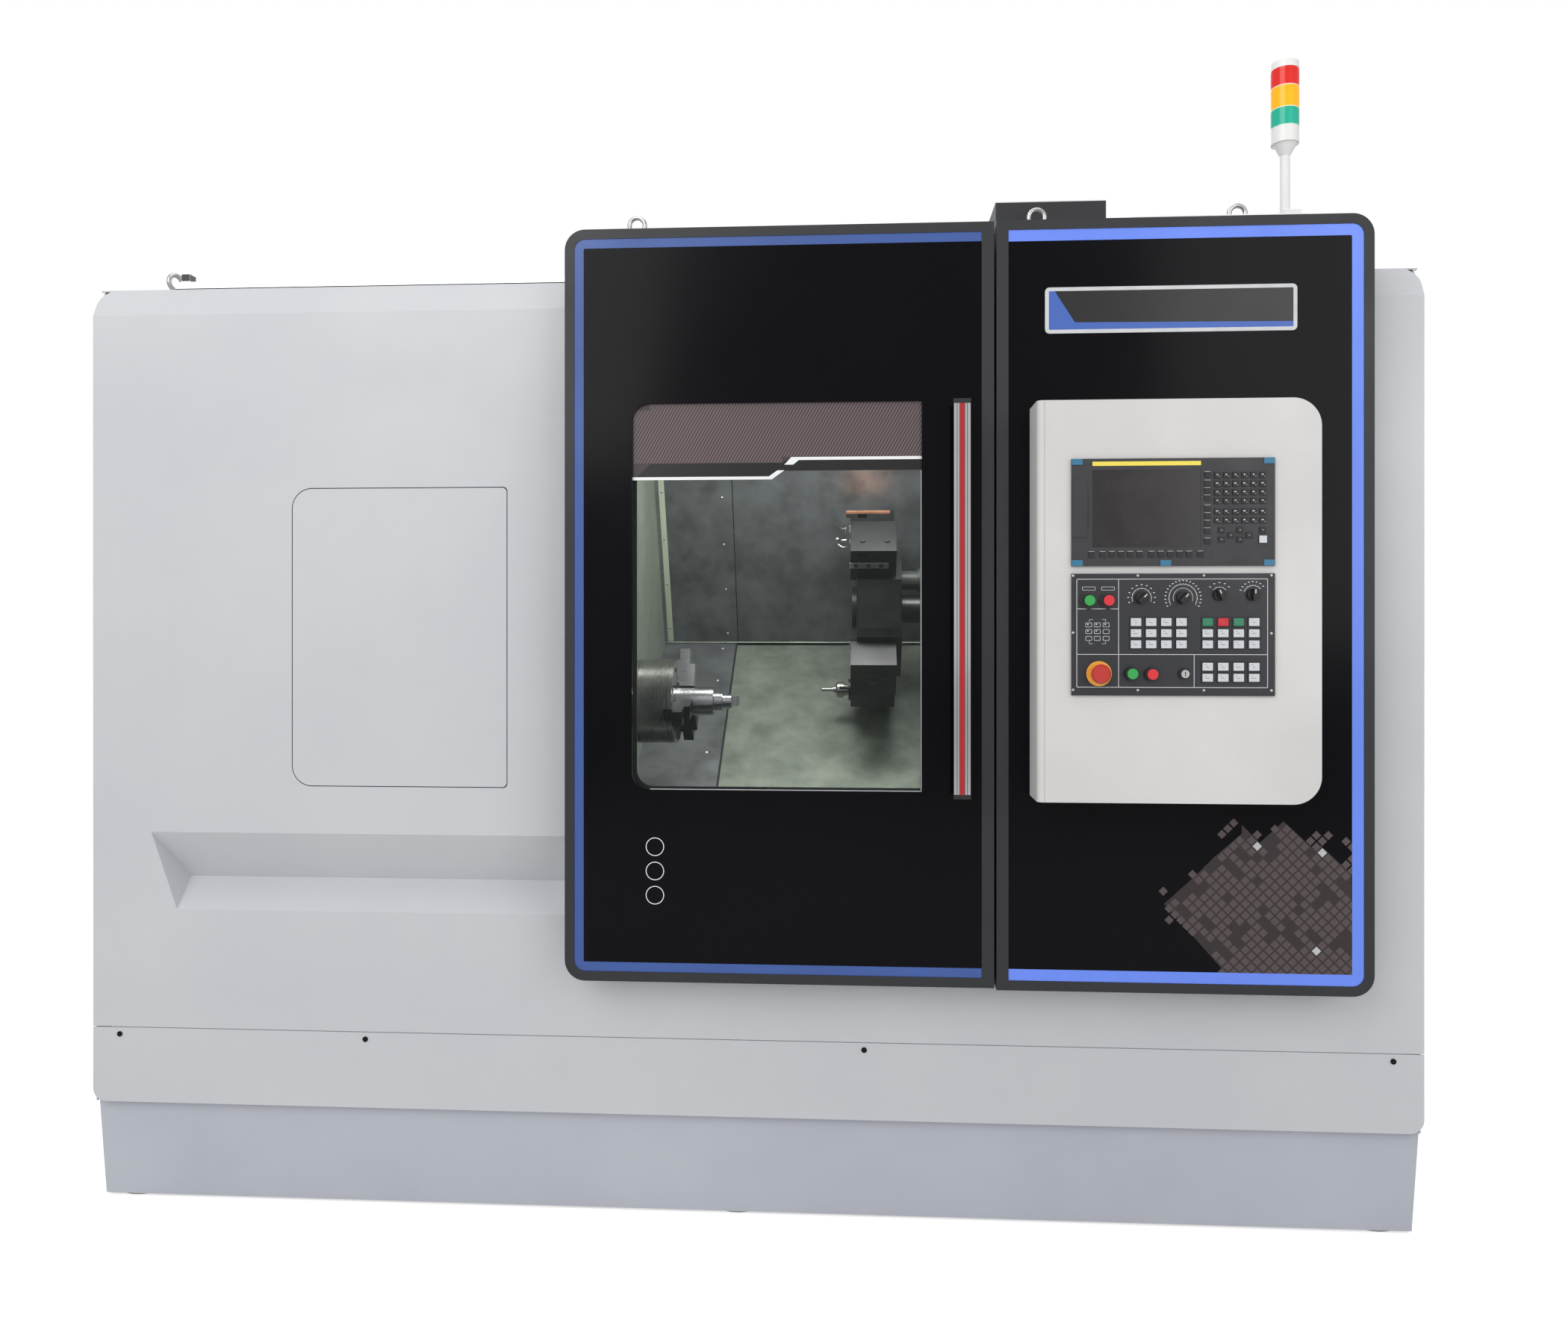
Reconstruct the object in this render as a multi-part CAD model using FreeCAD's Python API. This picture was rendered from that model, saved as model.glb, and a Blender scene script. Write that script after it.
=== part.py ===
"""A CNC turning lathe: slant bed, turret, three-jaw chuck, sheet-metal covers and a sliding door.

Frame, in millimetres: X runs to the operator's right along the spindle, Y runs away from the
operator and Z is up. The origin is on the floor, under the middle of the machine.

Inside, the slides are tilted. Their places are given by s, the distance up the slope from the
spindle axis, and n, the distance at right angles to the slope, positive towards the operator.
"""
import FreeCAD
import Part
import math
import os

# --- overall sizes -----------------------------------------------------------------------------
machine_width = 2960.0
machine_depth = 2000.0
roof_height = 2095.0            # low roof at the left and the right
hood_height = 95.0              # raised hood behind the door, above the low roof
sheet = 3.0                     # gauge of every folded cover

# --- front planes, from the operator backwards -------------------------------------------------
control_reach = 34.0            # how far the tallest button stands out from the console
console_depth = 95.0
door_stand_off = 90.0           # door face to cover face
door_thickness = 60.0

# --- base --------------------------------------------------------------------------------------
plinth_gap = 6.0                # floor to plinth rim
plinth_top = 230.0
plinth_side_inset = 2.0
plinth_taper = 10.0
plinth_front_inset = 20.0
base_plate = 8.0
foot_radius = 60.0
foot_pad = 14.0
stud_radius = 12.0
kick_top = 400.0
seam = 2.0
flange = 40.0
overlap_strip = 25.0
corner_radius = 40.0
end_inset = 6.0                 # ends drawn in behind the front cover's edges
screw_head_radius = 6.0
screw_head_height = 2.0
screw_drop = 15.0

# --- front cover -------------------------------------------------------------------------------
bend_height = 2029.0            # where the cover leans back to the roof
hatch_left = -1010.0
hatch_width = 493.0
hatch_bottom = 957.0
hatch_height = 672.0
hatch_corner = 45.0
pocket_left = -1342.0
pocket_top = 848.0
pocket_fold = 733.0
pocket_bottom = 672.0
pocket_depth = 70.0
pocket_slant_bottom = 61.0      # how far the lower left corner is in from the upper one
pocket_slant_fold = 53.0

# --- door --------------------------------------------------------------------------------------
door_left = -362.0
door_width = 917.6
door_bottom = 555.0
door_top = 2173.0
door_corner = 44.0
lip = 21.0                      # visible width of the dark frame
door_right_lip = 26.0
lip_depth = 8.0
fascia_thickness = 6.0
fascia_set_back = 1.5
window_left_margin = 146.4      # door edge to window edge
window_right_margin = 151.6
window_bottom_margin = 412.0
window_top_margin = 376.0
window_corner = 37.0
glass_thickness = 8.0
glass_overlap = 18.0
opening_margin = 62.0           # how far the door laps over the opening that it closes
handle_from_right = 54.6
handle_width = 34.0
handle_bottom = 961.0
handle_length = 829.0
handle_reach = 50.0
handle_bar = 18.0
handle_foot = 40.0
door_travel = 820.0

# --- door rail ---------------------------------------------------------------------------------
rail_left = -1305.0
rail_width = 25.0
rail_height = 18.0
rail_set_back = 2.0             # from the back of the bend
stop_inset = 15.0
stop_length = 20.0
stop_height = 18.0
carriage_length = 110.0
carriage_height = 30.0
carriage_inset = 70.0
running_gap = 0.3

# --- fixed module beside the door --------------------------------------------------------------
module_gap = 5.0
module_width = 775.5
module_bottom = 551.0
module_top = 2175.0
module_left_lip = 25.0

# --- console -----------------------------------------------------------------------------------
console_left_inset = 69.5
console_width = 561.0
console_bottom = 963.0
console_height = 813.0
console_corner = 56.0
console_bend = 12.0
panel_left_inset = 67.4         # console edge to the display and operator plates
panel_width = 400.0
display_top_inset = 120.0
display_height = 216.0
panel_thickness = 6.0
panel_seat = 10.0
panel_spacing = 15.0
plate_height = 245.0
screen_left = 41.2
screen_width = 214.0
screen_top = 23.0
screen_height = 155.5
screen_recess = 2.5
screen_thickness = 1.5
key_height = 2.4
key_rim_height = 1.0

# --- top of the machine ------------------------------------------------------------------------
hood_left = -330.0
hood_width = 1630.0
hood_set_back = 125.0           # from the cover face
hood_depth = 900.0
top_box_left = 596.0
top_box_width = 257.0
top_box_depth = 210.0
top_box_height = 130.0
top_box_behind_eyes = 41.0
eye_height = 100.0
low_eye_height = 79.0
low_eye_turn = 70.0
low_eye_from_end = 98.0
eye_ring_radius = 21.0
eye_wire_radius = 5.5
tower_x = 1248.0
tower_depth = 250.0             # behind the door face
tower_bracket_height = 79.0
tower_pole_radius = 11.0
tower_bracket_width = 37.0
tower_pole_length = 126.0
tower_neck = 27.0
tower_radius = 30.0
tower_base = 36.0
lens_green = 41.0
lens_amber = 50.0
lens_red = 42.0
tower_cap_height = 16.0

# --- rear cabinet ------------------------------------------------------------------------------
cabinet_stand_off = 60.0        # rear cover to the tip of the cabinet's handle
cabinet_left = -900.0
cabinet_width = 1200.0
cabinet_bottom = 380.0
cabinet_height = 1500.0
cabinet_door = 14.0
cabinet_handle = 8.0

# --- working space -----------------------------------------------------------------------------
slope_angle = 35.0
wall_angle = 22.0               # upper back wall, from the vertical
spindle_height = 1128.0
spindle_behind_door = 420.0
way_cover_drop = 280.0          # spindle axis to the sloped covers, at right angles
bed_drop = 150.0                # sloped covers to the top of the bed
fold_up_slope = 634.0           # spindle axis to the fold at the foot of the back wall
cover_down_slope = 350.0
back_wall_height = 800.0
cover_pitch = 3.4               # level of one sloped cover below the next
guard_x = -326.0
guard_hole_radius = 92.0
fixed_cover_right = -96.0

bed_left = -950.0
bed_length = 2150.0
bed_wall = 32.0
bed_back_land = 170.0
guide_rail_width = 44.0
guide_rail_height = 30.0
guide_rail_length = 1200.0
guide_rail_left = -70.0
lower_rail_s = -100.0
upper_rail_s = 500.0

# --- headstock, spindle and chuck --------------------------------------------------------------
headstock_length = 574.0
headstock_half = 190.0
headstock_wall = 40.0
spindle_radius = 60.0
bearing_clearance = 0.05
spindle_tail = 60.0
chuck_radius = 105.0
chuck_length = 99.0
chuck_adapter_radius = 82.0
chuck_adapter_length = 40.0
chuck_bore = 33.0
chuck_face_x = -181.0
jaw_count = 3
jaw_first_angle = -15.0         # from straight up, towards the operator
jaw_width = 36.0
jaw_slot_width = 30.0
jaw_slot_depth = 20.0
jaw_slot_inner = 41.0
jaw_gap = 5.0
jaw_length = 38.0
jaw_outer = 132.0
jaw_step_radius = 92.0
jaw_step = 13.0
jaw_travel = 3.7
jaw_screw_radius = 7.0
blank_radius = 35.5
blank_length = 93.0
blank_steps = ((23.5, 22.0), (17.5, 22.0))     # radius and length of each turned step
blank_square = 24.0
blank_square_length = 17.0

# --- slides and turret -------------------------------------------------------------------------
turret_up_slope = 410.0         # spindle axis to turret axis
slide_in = 165.0                # travel of the cross slide towards the spindle
saddle_left_travel = 190.0
saddle_right_travel = 240.0
saddle_x = 400.0
saddle_length = 430.0
saddle_clear = 12.0             # saddle top below the lowest sloped cover
pad_margin = 90.0
pad_length = 280.0
pad_above_cover = 18.0
slide_base_height = 52.0
housing_x = 470.0
housing_length = 330.0
housing_half = 120.0
housing_above = 130.0
disc_x = 270.0
disc_thickness = 119.0
disc_apothem = 183.0
station_count = 8
block_x = 254.0
block_length = 119.0
block_width = 119.0
block_height = 85.0
hub_radius = 40.0
hub_length = 120.0
boss_radius = 62.0
union_radius = 26.0                # coolant union beside the hub
union_ring = 10.0                  # how far the union's widest ring stands out
union_gap = 4.0                    # from that ring to the turning hub
union_above = hub_radius + union_gap + union_radius + union_ring
live_tool_radius = 225.0        # turret axis to the driven tool
blank_height = 14.0
top_plate = 9.0
cap_radius = 33.0
cap_dome = 24.0
cap_rise = 6.0                     # crown above the block, inside the blocks' own sweep
cap_collar = 3.0
collet_radius = 22.0
collet_length = 30.0
live_shank_radius = 13.0
live_shank_length = 60.0
drill_radius = 5.0
drill_length = 42.0

# --- places worked out from the sizes above ----------------------------------------------------
half_width = machine_width / 2
front_y = -machine_depth / 2
rear_y = machine_depth / 2
back_y = rear_y - cabinet_stand_off             # face of the rear cover
console_y = front_y + control_reach
door_y = console_y + console_depth
cover_y = door_y + door_stand_off
inside_y = cover_y + sheet
bend_run = 30.0                 # how far the cover leans back below the roof
bend_angle = math.atan2(bend_run, roof_height - bend_height)
bend_end_y = cover_y + bend_run
door_right = door_left + door_width
module_left = door_right + module_gap
module_right = module_left + module_width
opening_left = door_left + opening_margin
opening_right = door_right - opening_margin / 3
opening_bottom = door_bottom + opening_margin
opening_top = bend_height - opening_margin / 2
console_left = module_left + console_left_inset
console_right = console_left + console_width
console_top = console_bottom + console_height
panel_left = console_left + panel_left_inset
display_top = console_top - display_top_inset
display_bottom = display_top - display_height
plate_top = display_bottom - panel_spacing
plate_bottom = plate_top - plate_height
hood_top = roof_height + hood_height
spindle_y = door_y + spindle_behind_door
slope = math.radians(slope_angle)
cover_n = -way_cover_drop
bed_n = cover_n - bed_drop
saddle_top_n = cover_n - 3 * cover_pitch - saddle_clear
pad_top_n = cover_n + pad_above_cover
rail_top_n = bed_n + guide_rail_height
chamber_x = guard_x + sheet
tower_y = door_y + tower_depth


# --- shape helpers -----------------------------------------------------------------------------
def vec(x, y, z):
    return FreeCAD.Vector(x, y, z)


def box(x0, x1, y0, y1, z0, z1):
    """A block between two opposite corners."""
    return Part.makeBox(x1 - x0, y1 - y0, z1 - z0, vec(x0, y0, z0))


def rod(centre, axis, radius, length):
    """A round bar that starts at centre and runs along axis."""
    return Part.makeCylinder(radius, length, vec(*centre), vec(*axis))


def fused(shapes):
    """One solid from several that meet or overlap."""
    whole = shapes[0]
    for shape in shapes[1:]:
        whole = whole.fuse(shape)
    return whole.removeSplitter()


def corner_points(before, corner, after, radius):
    """Tangent points and middle of the arc that rounds one corner of an outline."""
    to_before = (before - corner).normalize()
    to_after = (after - corner).normalize()
    half_turn = to_before.getAngle(to_after) / 2
    reach = radius / math.tan(half_turn)
    centre = corner + (to_before + to_after).normalize() * (radius / math.sin(half_turn))
    middle = centre + (corner - centre).normalize() * radius
    return corner + to_before * reach, middle, corner + to_after * reach


def outline_face(corners):
    """A flat face from a list of (point, radius); a radius of 0 leaves the corner sharp."""
    count = len(corners)
    stations = []
    for index, (point, radius) in enumerate(corners):
        if radius > 0:
            before = vec(*corners[index - 1][0])
            after = vec(*corners[(index + 1) % count][0])
            stations.append(corner_points(before, vec(*point), after, radius))
        else:
            stations.append((vec(*point),) * 3)
    edges = []
    for index, (start, middle, end) in enumerate(stations):
        if start != end:
            edges.append(Part.Arc(start, middle, end).toShape())
        following = stations[(index + 1) % count][0]
        if (following - end).Length > 1e-6:
            edges.append(Part.LineSegment(end, following).toShape())
    return Part.Face(Part.Wire(edges))


def front_panel(left, right, bottom, top, y0, y1, left_radius=0.0, right_radius=0.0):
    """An upright panel, seen from the front, with rounded left and right corners."""
    corners = [((left, y0, bottom), left_radius), ((right, y0, bottom), right_radius),
               ((right, y0, top), right_radius), ((left, y0, top), left_radius)]
    return outline_face(corners).extrude(vec(0, y1 - y0, 0))


def side_profile(x0, x1, points):
    """A prism along X from (y, z) points."""
    return outline_face([((x0, y, z), 0) for y, z in points]).extrude(vec(x1 - x0, 0, 0))


def slope_yz(s, n):
    """The y and z of a place given along and across the slope."""
    y = spindle_y + s * math.cos(slope) - n * math.sin(slope)
    z = spindle_height + s * math.sin(slope) + n * math.cos(slope)
    return y, z


def slope_block(x0, x1, s0, s1, n0, n1):
    """A block that lies square to the slope."""
    corners = [slope_yz(s0, n0), slope_yz(s1, n0), slope_yz(s1, n1), slope_yz(s0, n1)]
    return side_profile(x0, x1, corners)


def convex_solid(faces):
    """A solid from flat faces, each given by its corner points."""
    sides = [Part.Face(Part.makePolygon([vec(*p) for p in face + face[:1]])) for face in faces]
    return Part.makeSolid(Part.makeShell(sides))


def tilted(shape, angle, centre):
    """A shape turned about an axis along X; a positive angle leans it towards the operator."""
    turned = shape.copy()
    turned.rotate(vec(*centre), vec(1, 0, 0), angle)
    return turned


def group(solids):
    """Separate solids kept together as one node."""
    return Part.makeCompound(solids)


# --- base and covers ---------------------------------------------------------------------------
def frustum(inset, bottom, top):
    """The tapered plinth body, drawn in by inset all round."""
    loops = []
    for height, taper in ((bottom, plinth_taper), (top, 0.0)):
        side = half_width - plinth_side_inset - taper - inset
        front = cover_y + plinth_front_inset + taper + inset
        back = back_y - plinth_side_inset - taper - inset
        points = [(-side, front), (side, front), (side, back), (-side, back), (-side, front)]
        loops.append(Part.makePolygon([vec(x, y, height) for x, y in points]))
    return Part.makeLoft(loops, True, True)


def plinth_shell():
    outer = frustum(0.0, plinth_gap, plinth_top)
    inner = frustum(sheet, plinth_gap, plinth_top)
    below_plate = box(-half_width, half_width, front_y, back_y, 0, plinth_top - base_plate)
    return outer.cut(inner.common(below_plate))


def leveling_feet():
    """Six screw feet that carry the base plate."""
    feet = []
    front = cover_y + plinth_front_inset + plinth_taper + foot_radius + 2 * sheet
    back = back_y - plinth_side_inset - plinth_taper - foot_radius - 2 * sheet
    reach = half_width - plinth_side_inset - plinth_taper - foot_radius - 2 * sheet
    for x in (-reach, -plinth_side_inset, reach):
        for y in (front, back):
            pad = rod((x, y, 0), (0, 0, 1), foot_radius, foot_pad)
            stud = rod((x, y, 0), (0, 0, 1), stud_radius, plinth_top - base_plate)
            feet.append(fused([pad, stud]))
    return group(feet)


def kick_panel():
    """The lowest front sheet, with a foot flange and a strip behind the seam above it."""
    corners = [((-half_width, cover_y, plinth_top), 30.0), ((half_width, cover_y, plinth_top), 30.0),
               ((half_width, cover_y, kick_top), 0), ((-half_width, cover_y, kick_top), 0)]
    face = outline_face(corners).extrude(vec(0, sheet, 0))
    inner = half_width - sheet
    foot = box(-inner + flange, inner - flange, inside_y, cover_y + 2 * flange,
               plinth_top, plinth_top + sheet)
    strip = box(-inner + flange, inner - flange, inside_y, inside_y + sheet,
                kick_top - overlap_strip, kick_top + overlap_strip)
    return fused([face, foot, strip])


def cover_screws():
    """Four dark screw heads along the top of the kick panel."""
    xs = (-1416.0, -841.0, 283.0, 1415.0)
    scale = half_width / 1480.0
    return group([rod((x * scale, cover_y, kick_top - screw_drop), (0, -1, 0),
                      screw_head_radius, screw_head_height) for x in xs])


def pocket_wedge(skin):
    """The pressed recess as a solid wedge; skin thickens it all round."""
    right = opening_left - 2 * flange + skin
    front, back = cover_y, cover_y + pocket_depth + skin
    top, low = pocket_top + skin, pocket_bottom - skin
    a = (pocket_left - skin, front, top)
    b = (pocket_left + pocket_slant_bottom - skin, front, low)
    c = (pocket_left + pocket_slant_fold - skin, back, pocket_fold)
    d, e, f = (right, front, top), (right, front, low), (right, back, pocket_fold)
    return convex_solid([[a, b, c], [d, e, f], [a, d, f, c], [b, e, f, c], [a, d, e, b]])


def front_cover():
    """One folded sheet: upright face, bend back to the roof, door opening, hatch and recess."""
    seam_bottom = kick_top + seam
    outer = [(cover_y, seam_bottom), (cover_y, bend_height), (bend_end_y, roof_height)]
    inner = [(bend_end_y, roof_height - sheet / math.sin(bend_angle)),
             (inside_y, bend_height + (sheet - sheet / math.cos(bend_angle)) / math.tan(bend_angle)),
             (inside_y, seam_bottom)]
    cover = side_profile(-half_width, half_width, outer + inner)
    rounded = front_panel(-half_width, half_width, -corner_radius * 2, roof_height,
                          cover_y - sheet, bend_end_y, corner_radius, corner_radius)
    cover = cover.common(rounded)
    cover = cover.cut(box(opening_left, opening_right, cover_y, inside_y,
                          opening_bottom, opening_top))
    ledge = hatch_outline(-15.0, inside_y, inside_y + sheet)
    cover = cover.cut(hatch_outline(-seam, cover_y, inside_y)).fuse(
        ledge.cut(hatch_outline(15.0, inside_y, inside_y + sheet)))
    cover = cover.cut(pocket_wedge(0.0)).fuse(pocket_wedge(sheet)).cut(pocket_wedge(0.0))
    return cover.removeSplitter()


def hatch_outline(inset, y0, y1):
    """The service hatch's outline as a slab, drawn in by inset."""
    right = hatch_left + hatch_width - inset
    corners = front_panel(hatch_left + inset, right, hatch_bottom + inset,
                          hatch_bottom + hatch_height - inset, y0, y1,
                          hatch_corner - inset, corner_radius / 4)
    return corners


def service_hatch():
    return hatch_outline(0.0, cover_y, inside_y)


def end_covers():
    """Left and right ends, each with a foot flange on the base."""
    outline = [(inside_y, plinth_top), (back_y - sheet, plinth_top),
               (back_y - sheet, roof_height - sheet), (bend_end_y, roof_height - sheet),
               (bend_end_y, roof_height - sheet / math.sin(bend_angle) - sheet),
               (inside_y, bend_height - 2 * sheet)]
    ends = []
    for side in (-1, 1):
        outer = side * (half_width - end_inset)
        inner = outer - side * sheet
        folded = inner - side * flange
        plate = side_profile(min(outer, inner), max(outer, inner), outline)
        foot = box(min(inner, folded), max(inner, folded), cover_y + 2 * flange + seam,
                   back_y - flange - seam, plinth_top, plinth_top + sheet)
        ends.append(fused([plate, foot]))
    return group(ends)


def rear_cover():
    inner = half_width - end_inset - sheet - flange
    plate = box(-half_width, half_width, back_y - sheet, back_y, plinth_top, roof_height)
    foot = box(-inner, inner, back_y - flange, back_y - sheet, plinth_top, plinth_top + sheet)
    return fused([plate, foot])


def rear_cabinet():
    """Electrical cabinet on the rear cover: folded case, door and the door's handle."""
    right, top = cabinet_left + cabinet_width, cabinet_bottom + cabinet_height
    door_back = rear_y - cabinet_handle - cabinet_door
    case = box(cabinet_left, right, back_y, door_back, cabinet_bottom, top)
    case = case.cut(box(cabinet_left + sheet, right - sheet, back_y + sheet, door_back,
                        cabinet_bottom + sheet, top - sheet))
    door = box(cabinet_left + 2 * sheet, right - 2 * sheet, door_back, door_back + cabinet_door,
               cabinet_bottom + 2 * sheet, top - 2 * sheet)
    door = door.cut(box(cabinet_left + 3 * sheet, right - 3 * sheet, door_back,
                        door_back + cabinet_door - sheet, cabinet_bottom + 3 * sheet,
                        top - 3 * sheet))
    middle = cabinet_bottom + cabinet_height / 2
    handle = front_panel(cabinet_left + flange, cabinet_left + flange + 26.0, middle - 70.0,
                         middle + 70.0, door_back + cabinet_door, rear_y, 8.0, 8.0)
    lip = box(cabinet_left, right, door_back - sheet, door_back, cabinet_bottom, top)
    lip = lip.cut(box(cabinet_left + 5 * sheet, right - 5 * sheet, door_back - sheet, door_back,
                      cabinet_bottom + 5 * sheet, top - 5 * sheet))
    return group([fused([case, lip]), fused([door, handle])])


def roof_cover():
    """The low roof with the raised hood behind the door."""
    roof = box(-half_width, half_width, bend_end_y, back_y - sheet,
               roof_height - sheet, roof_height)
    hood_front = cover_y + hood_set_back
    inner = (hood_left + sheet, hood_left + hood_width - sheet, hood_front + sheet,
             hood_front + hood_depth - sheet, roof_height - sheet, hood_top - sheet)
    hood = box(hood_left, hood_left + hood_width, hood_front, hood_front + hood_depth,
               roof_height, hood_top)
    return fused([roof, hood]).cut(box(*inner))


def lifting_eye(x, z, height, turn=0.0):
    """A cast eye bolt: collar, neck and ring; turn is about its own neck."""
    collar = rod((x, tower_y, z), (0, 0, 1), eye_ring_radius * 0.8, 8.0)
    neck = rod((x, tower_y, z), (0, 0, 1), eye_wire_radius, height - 2 * eye_ring_radius)
    ring = Part.makeTorus(eye_ring_radius - eye_wire_radius / 2, eye_wire_radius,
                          vec(x, tower_y, z + height - eye_ring_radius - eye_wire_radius / 2),
                          vec(0, 1, 0))
    eye = fused([collar, neck, ring])
    eye.rotate(vec(x, tower_y, z), vec(0, 0, 1), turn)
    return eye


def lifting_eyes():
    low = lifting_eye(-half_width + low_eye_from_end, roof_height, low_eye_height, low_eye_turn)
    on_hood = [lifting_eye(hood_left + across, hood_top, eye_height)
               for across in (79.0, 1015.0, 1471.0)]
    return group(on_hood + [low])


def top_box():
    """A sheet-metal control box on the hood."""
    y0 = tower_y + top_box_behind_eyes
    case = box(top_box_left, top_box_left + top_box_width, y0, y0 + top_box_depth,
               hood_top, hood_top + top_box_height)
    hollow = box(top_box_left + sheet, top_box_left + top_box_width - sheet, y0 + sheet,
                 y0 + top_box_depth - sheet, hood_top, hood_top + top_box_height - sheet)
    return case.cut(hollow)


def tower_level(*below):
    """Height of a tower part that stands on the given lengths."""
    return hood_top + tower_bracket_height + tower_pole_length + sum(below)


def tower_pole():
    """Folded bracket, tube, neck and base of the signal tower, joined as one."""
    foot = box(tower_x - 30, tower_x + 30, tower_y - 25, tower_y + 25, hood_top, hood_top + 4)
    left = tower_x - tower_pole_radius / 2
    post = box(left, left + tower_bracket_width, tower_y - 15, tower_y + 15,
               hood_top, hood_top + tower_bracket_height)
    tube = rod((tower_x, tower_y, hood_top), (0, 0, 1),
               tower_pole_radius, tower_bracket_height + tower_pole_length)
    neck = Part.makeCone(tower_pole_radius, tower_radius - 4, tower_neck,
                         vec(tower_x, tower_y, tower_level()))
    base = rod((tower_x, tower_y, tower_level(tower_neck)), (0, 0, 1), tower_radius, tower_base)
    return fused([foot, post, tube, neck, base])


def tower_lens(bottom, height):
    return rod((tower_x, tower_y, bottom), (0, 0, 1), tower_radius, height)


# --- door --------------------------------------------------------------------------------------
def door_panel(inset, y0, y1):
    """The door's outline as a slab, drawn in by inset, with rounded left corners."""
    return front_panel(door_left + inset, door_right - inset, door_bottom + inset,
                       door_top - inset, y0, y1, max(door_corner - inset, 5.0), 0.0)


def door_fascia_slab(y0, y1):
    """The dark front panel's outline, inside the frame lips."""
    return front_panel(door_left + lip, door_right - door_right_lip, door_bottom + lip,
                       door_top - lip, y0, y1, door_corner - lip, 0.0)


def door_window_slab(grow, y0, y1):
    """The window's outline as a slab, enlarged by grow."""
    return front_panel(door_left + window_left_margin - grow,
                       door_right - window_right_margin + grow,
                       door_bottom + window_bottom_margin - grow,
                       door_top - window_top_margin + grow, y0, y1, window_corner + grow, 0.0)


def door_shell():
    """Folded tray with front lips and an inner skin that frames the window."""
    back = door_y + door_thickness
    tray = door_panel(0.0, door_y, back)
    tray = tray.cut(door_fascia_slab(door_y, door_y + lip_depth))
    tray = tray.cut(door_panel(sheet, door_y + lip_depth, back - sheet))
    return tray.cut(door_window_slab(0.0, back - sheet, back))


def door_fascia():
    front = door_y + fascia_set_back
    slab = door_fascia_slab(front, front + fascia_thickness)
    return slab.cut(door_window_slab(0.0, front, front + fascia_thickness))


def door_window():
    """The safety pane, clamped behind the dark panel."""
    behind = door_y + fascia_set_back + fascia_thickness
    return door_window_slab(glass_overlap, behind, behind + glass_thickness)


def door_handle():
    """An upright bar on two feet, with room for the fingers behind it."""
    right = door_right - handle_from_right
    left = right - handle_width
    seat = door_y + fascia_set_back
    front = door_y - handle_reach
    top = handle_bottom + handle_length
    bar = front_panel(left, right, handle_bottom, top, front, front + handle_bar, 8.0, 8.0)
    feet = [box(left + 4, right - 4, front + handle_bar, seat, z, z + handle_foot)
            for z in (handle_bottom, top - handle_foot)]
    return fused([bar] + feet)


def door_rail():
    """Guide bar on the roof, with an upright stop near its left end."""
    y0 = bend_end_y + rail_set_back
    right = door_right - handle_from_right
    bar = box(rail_left, right, y0, y0 + rail_width, roof_height, roof_height + rail_height)
    left = rail_left + stop_inset
    stop = box(left, left + stop_length, y0, y0 + rail_width,
               roof_height + rail_height, roof_height + rail_height + stop_height)
    return group([bar, stop])


def door_carriages():
    """Two hanger blocks that bolt to the back of the door and run on the guide bar."""
    y0 = door_y + door_thickness
    y1 = bend_end_y + rail_set_back + rail_width
    z0 = roof_height + rail_height + running_gap
    blocks = []
    for x in (door_left + carriage_inset, door_right - handle_from_right - carriage_length):
        arm = box(x, x + carriage_length, y0, y1, z0, z0 + carriage_height)
        keeper = box(x, x + carriage_length, y1 + running_gap, y1 + 12, roof_height + 2,
                     z0 + carriage_height)
        link = box(x, x + carriage_length, y1 - 1, y1 + 12, z0 + 2, z0 + carriage_height)
        blocks.append(fused([arm, keeper, link]))
    return group(blocks)


# --- fixed module and console ------------------------------------------------------------------
def module_panel(inset, y0, y1):
    return front_panel(module_left + inset, module_right - inset, module_bottom + inset,
                       module_top - inset, y0, y1, 0.0, max(door_corner - inset, 5.0))


def module_fascia_slab(y0, y1):
    return front_panel(module_left + module_left_lip, module_right - lip, module_bottom + lip,
                       module_top - lip, y0, y1, 0.0, door_corner - lip)


def module_frame():
    """Folded tray that carries the fixed front panel, open at the back."""
    tray = module_panel(0.0, door_y, cover_y)
    tray = tray.cut(module_fascia_slab(door_y, door_y + lip_depth))
    return tray.cut(module_panel(sheet, door_y + lip_depth, cover_y))


def module_fascia():
    front = door_y + fascia_set_back
    return module_fascia_slab(front, front + fascia_thickness)


def console_body(inset, y0):
    """The console's outer form, drawn in by inset; its left front edge is a rounded bend."""
    back = door_y + fascia_set_back
    body = front_panel(console_left + inset, console_right - inset, console_bottom + inset,
                       console_top - inset, y0, back, 0.0, console_corner - inset)
    bend = console_bend - inset
    edge = outline_face([((console_left + inset, y0, console_bottom), bend),
                         ((console_right, y0, console_bottom), 0),
                         ((console_right, back, console_bottom), 0),
                         ((console_left + inset, back, console_bottom), 0)])
    return body.common(edge.extrude(vec(0, 0, console_height)))


def panel_openings():
    """Cut-outs in the console face behind the display and the operator plate."""
    left, right = panel_left + panel_seat, panel_left + panel_width - panel_seat
    face = console_y, console_y + sheet
    return [box(left, right, *face, low + panel_seat, high - panel_seat)
            for low, high in ((display_bottom, display_top), (plate_bottom, plate_top))]


def console_housing():
    """Folded box on the fixed panel, open at the back."""
    shell = console_body(0.0, console_y).cut(console_body(sheet, console_y + sheet))
    for opening in panel_openings():
        shell = shell.cut(opening)
    return shell


def screen_box(y0, y1, grow=0.0):
    left = panel_left + screen_left
    top = display_top - screen_top
    return box(left - grow, left + screen_width + grow, y0, y1,
               top - screen_height - grow, top + grow)


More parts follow.
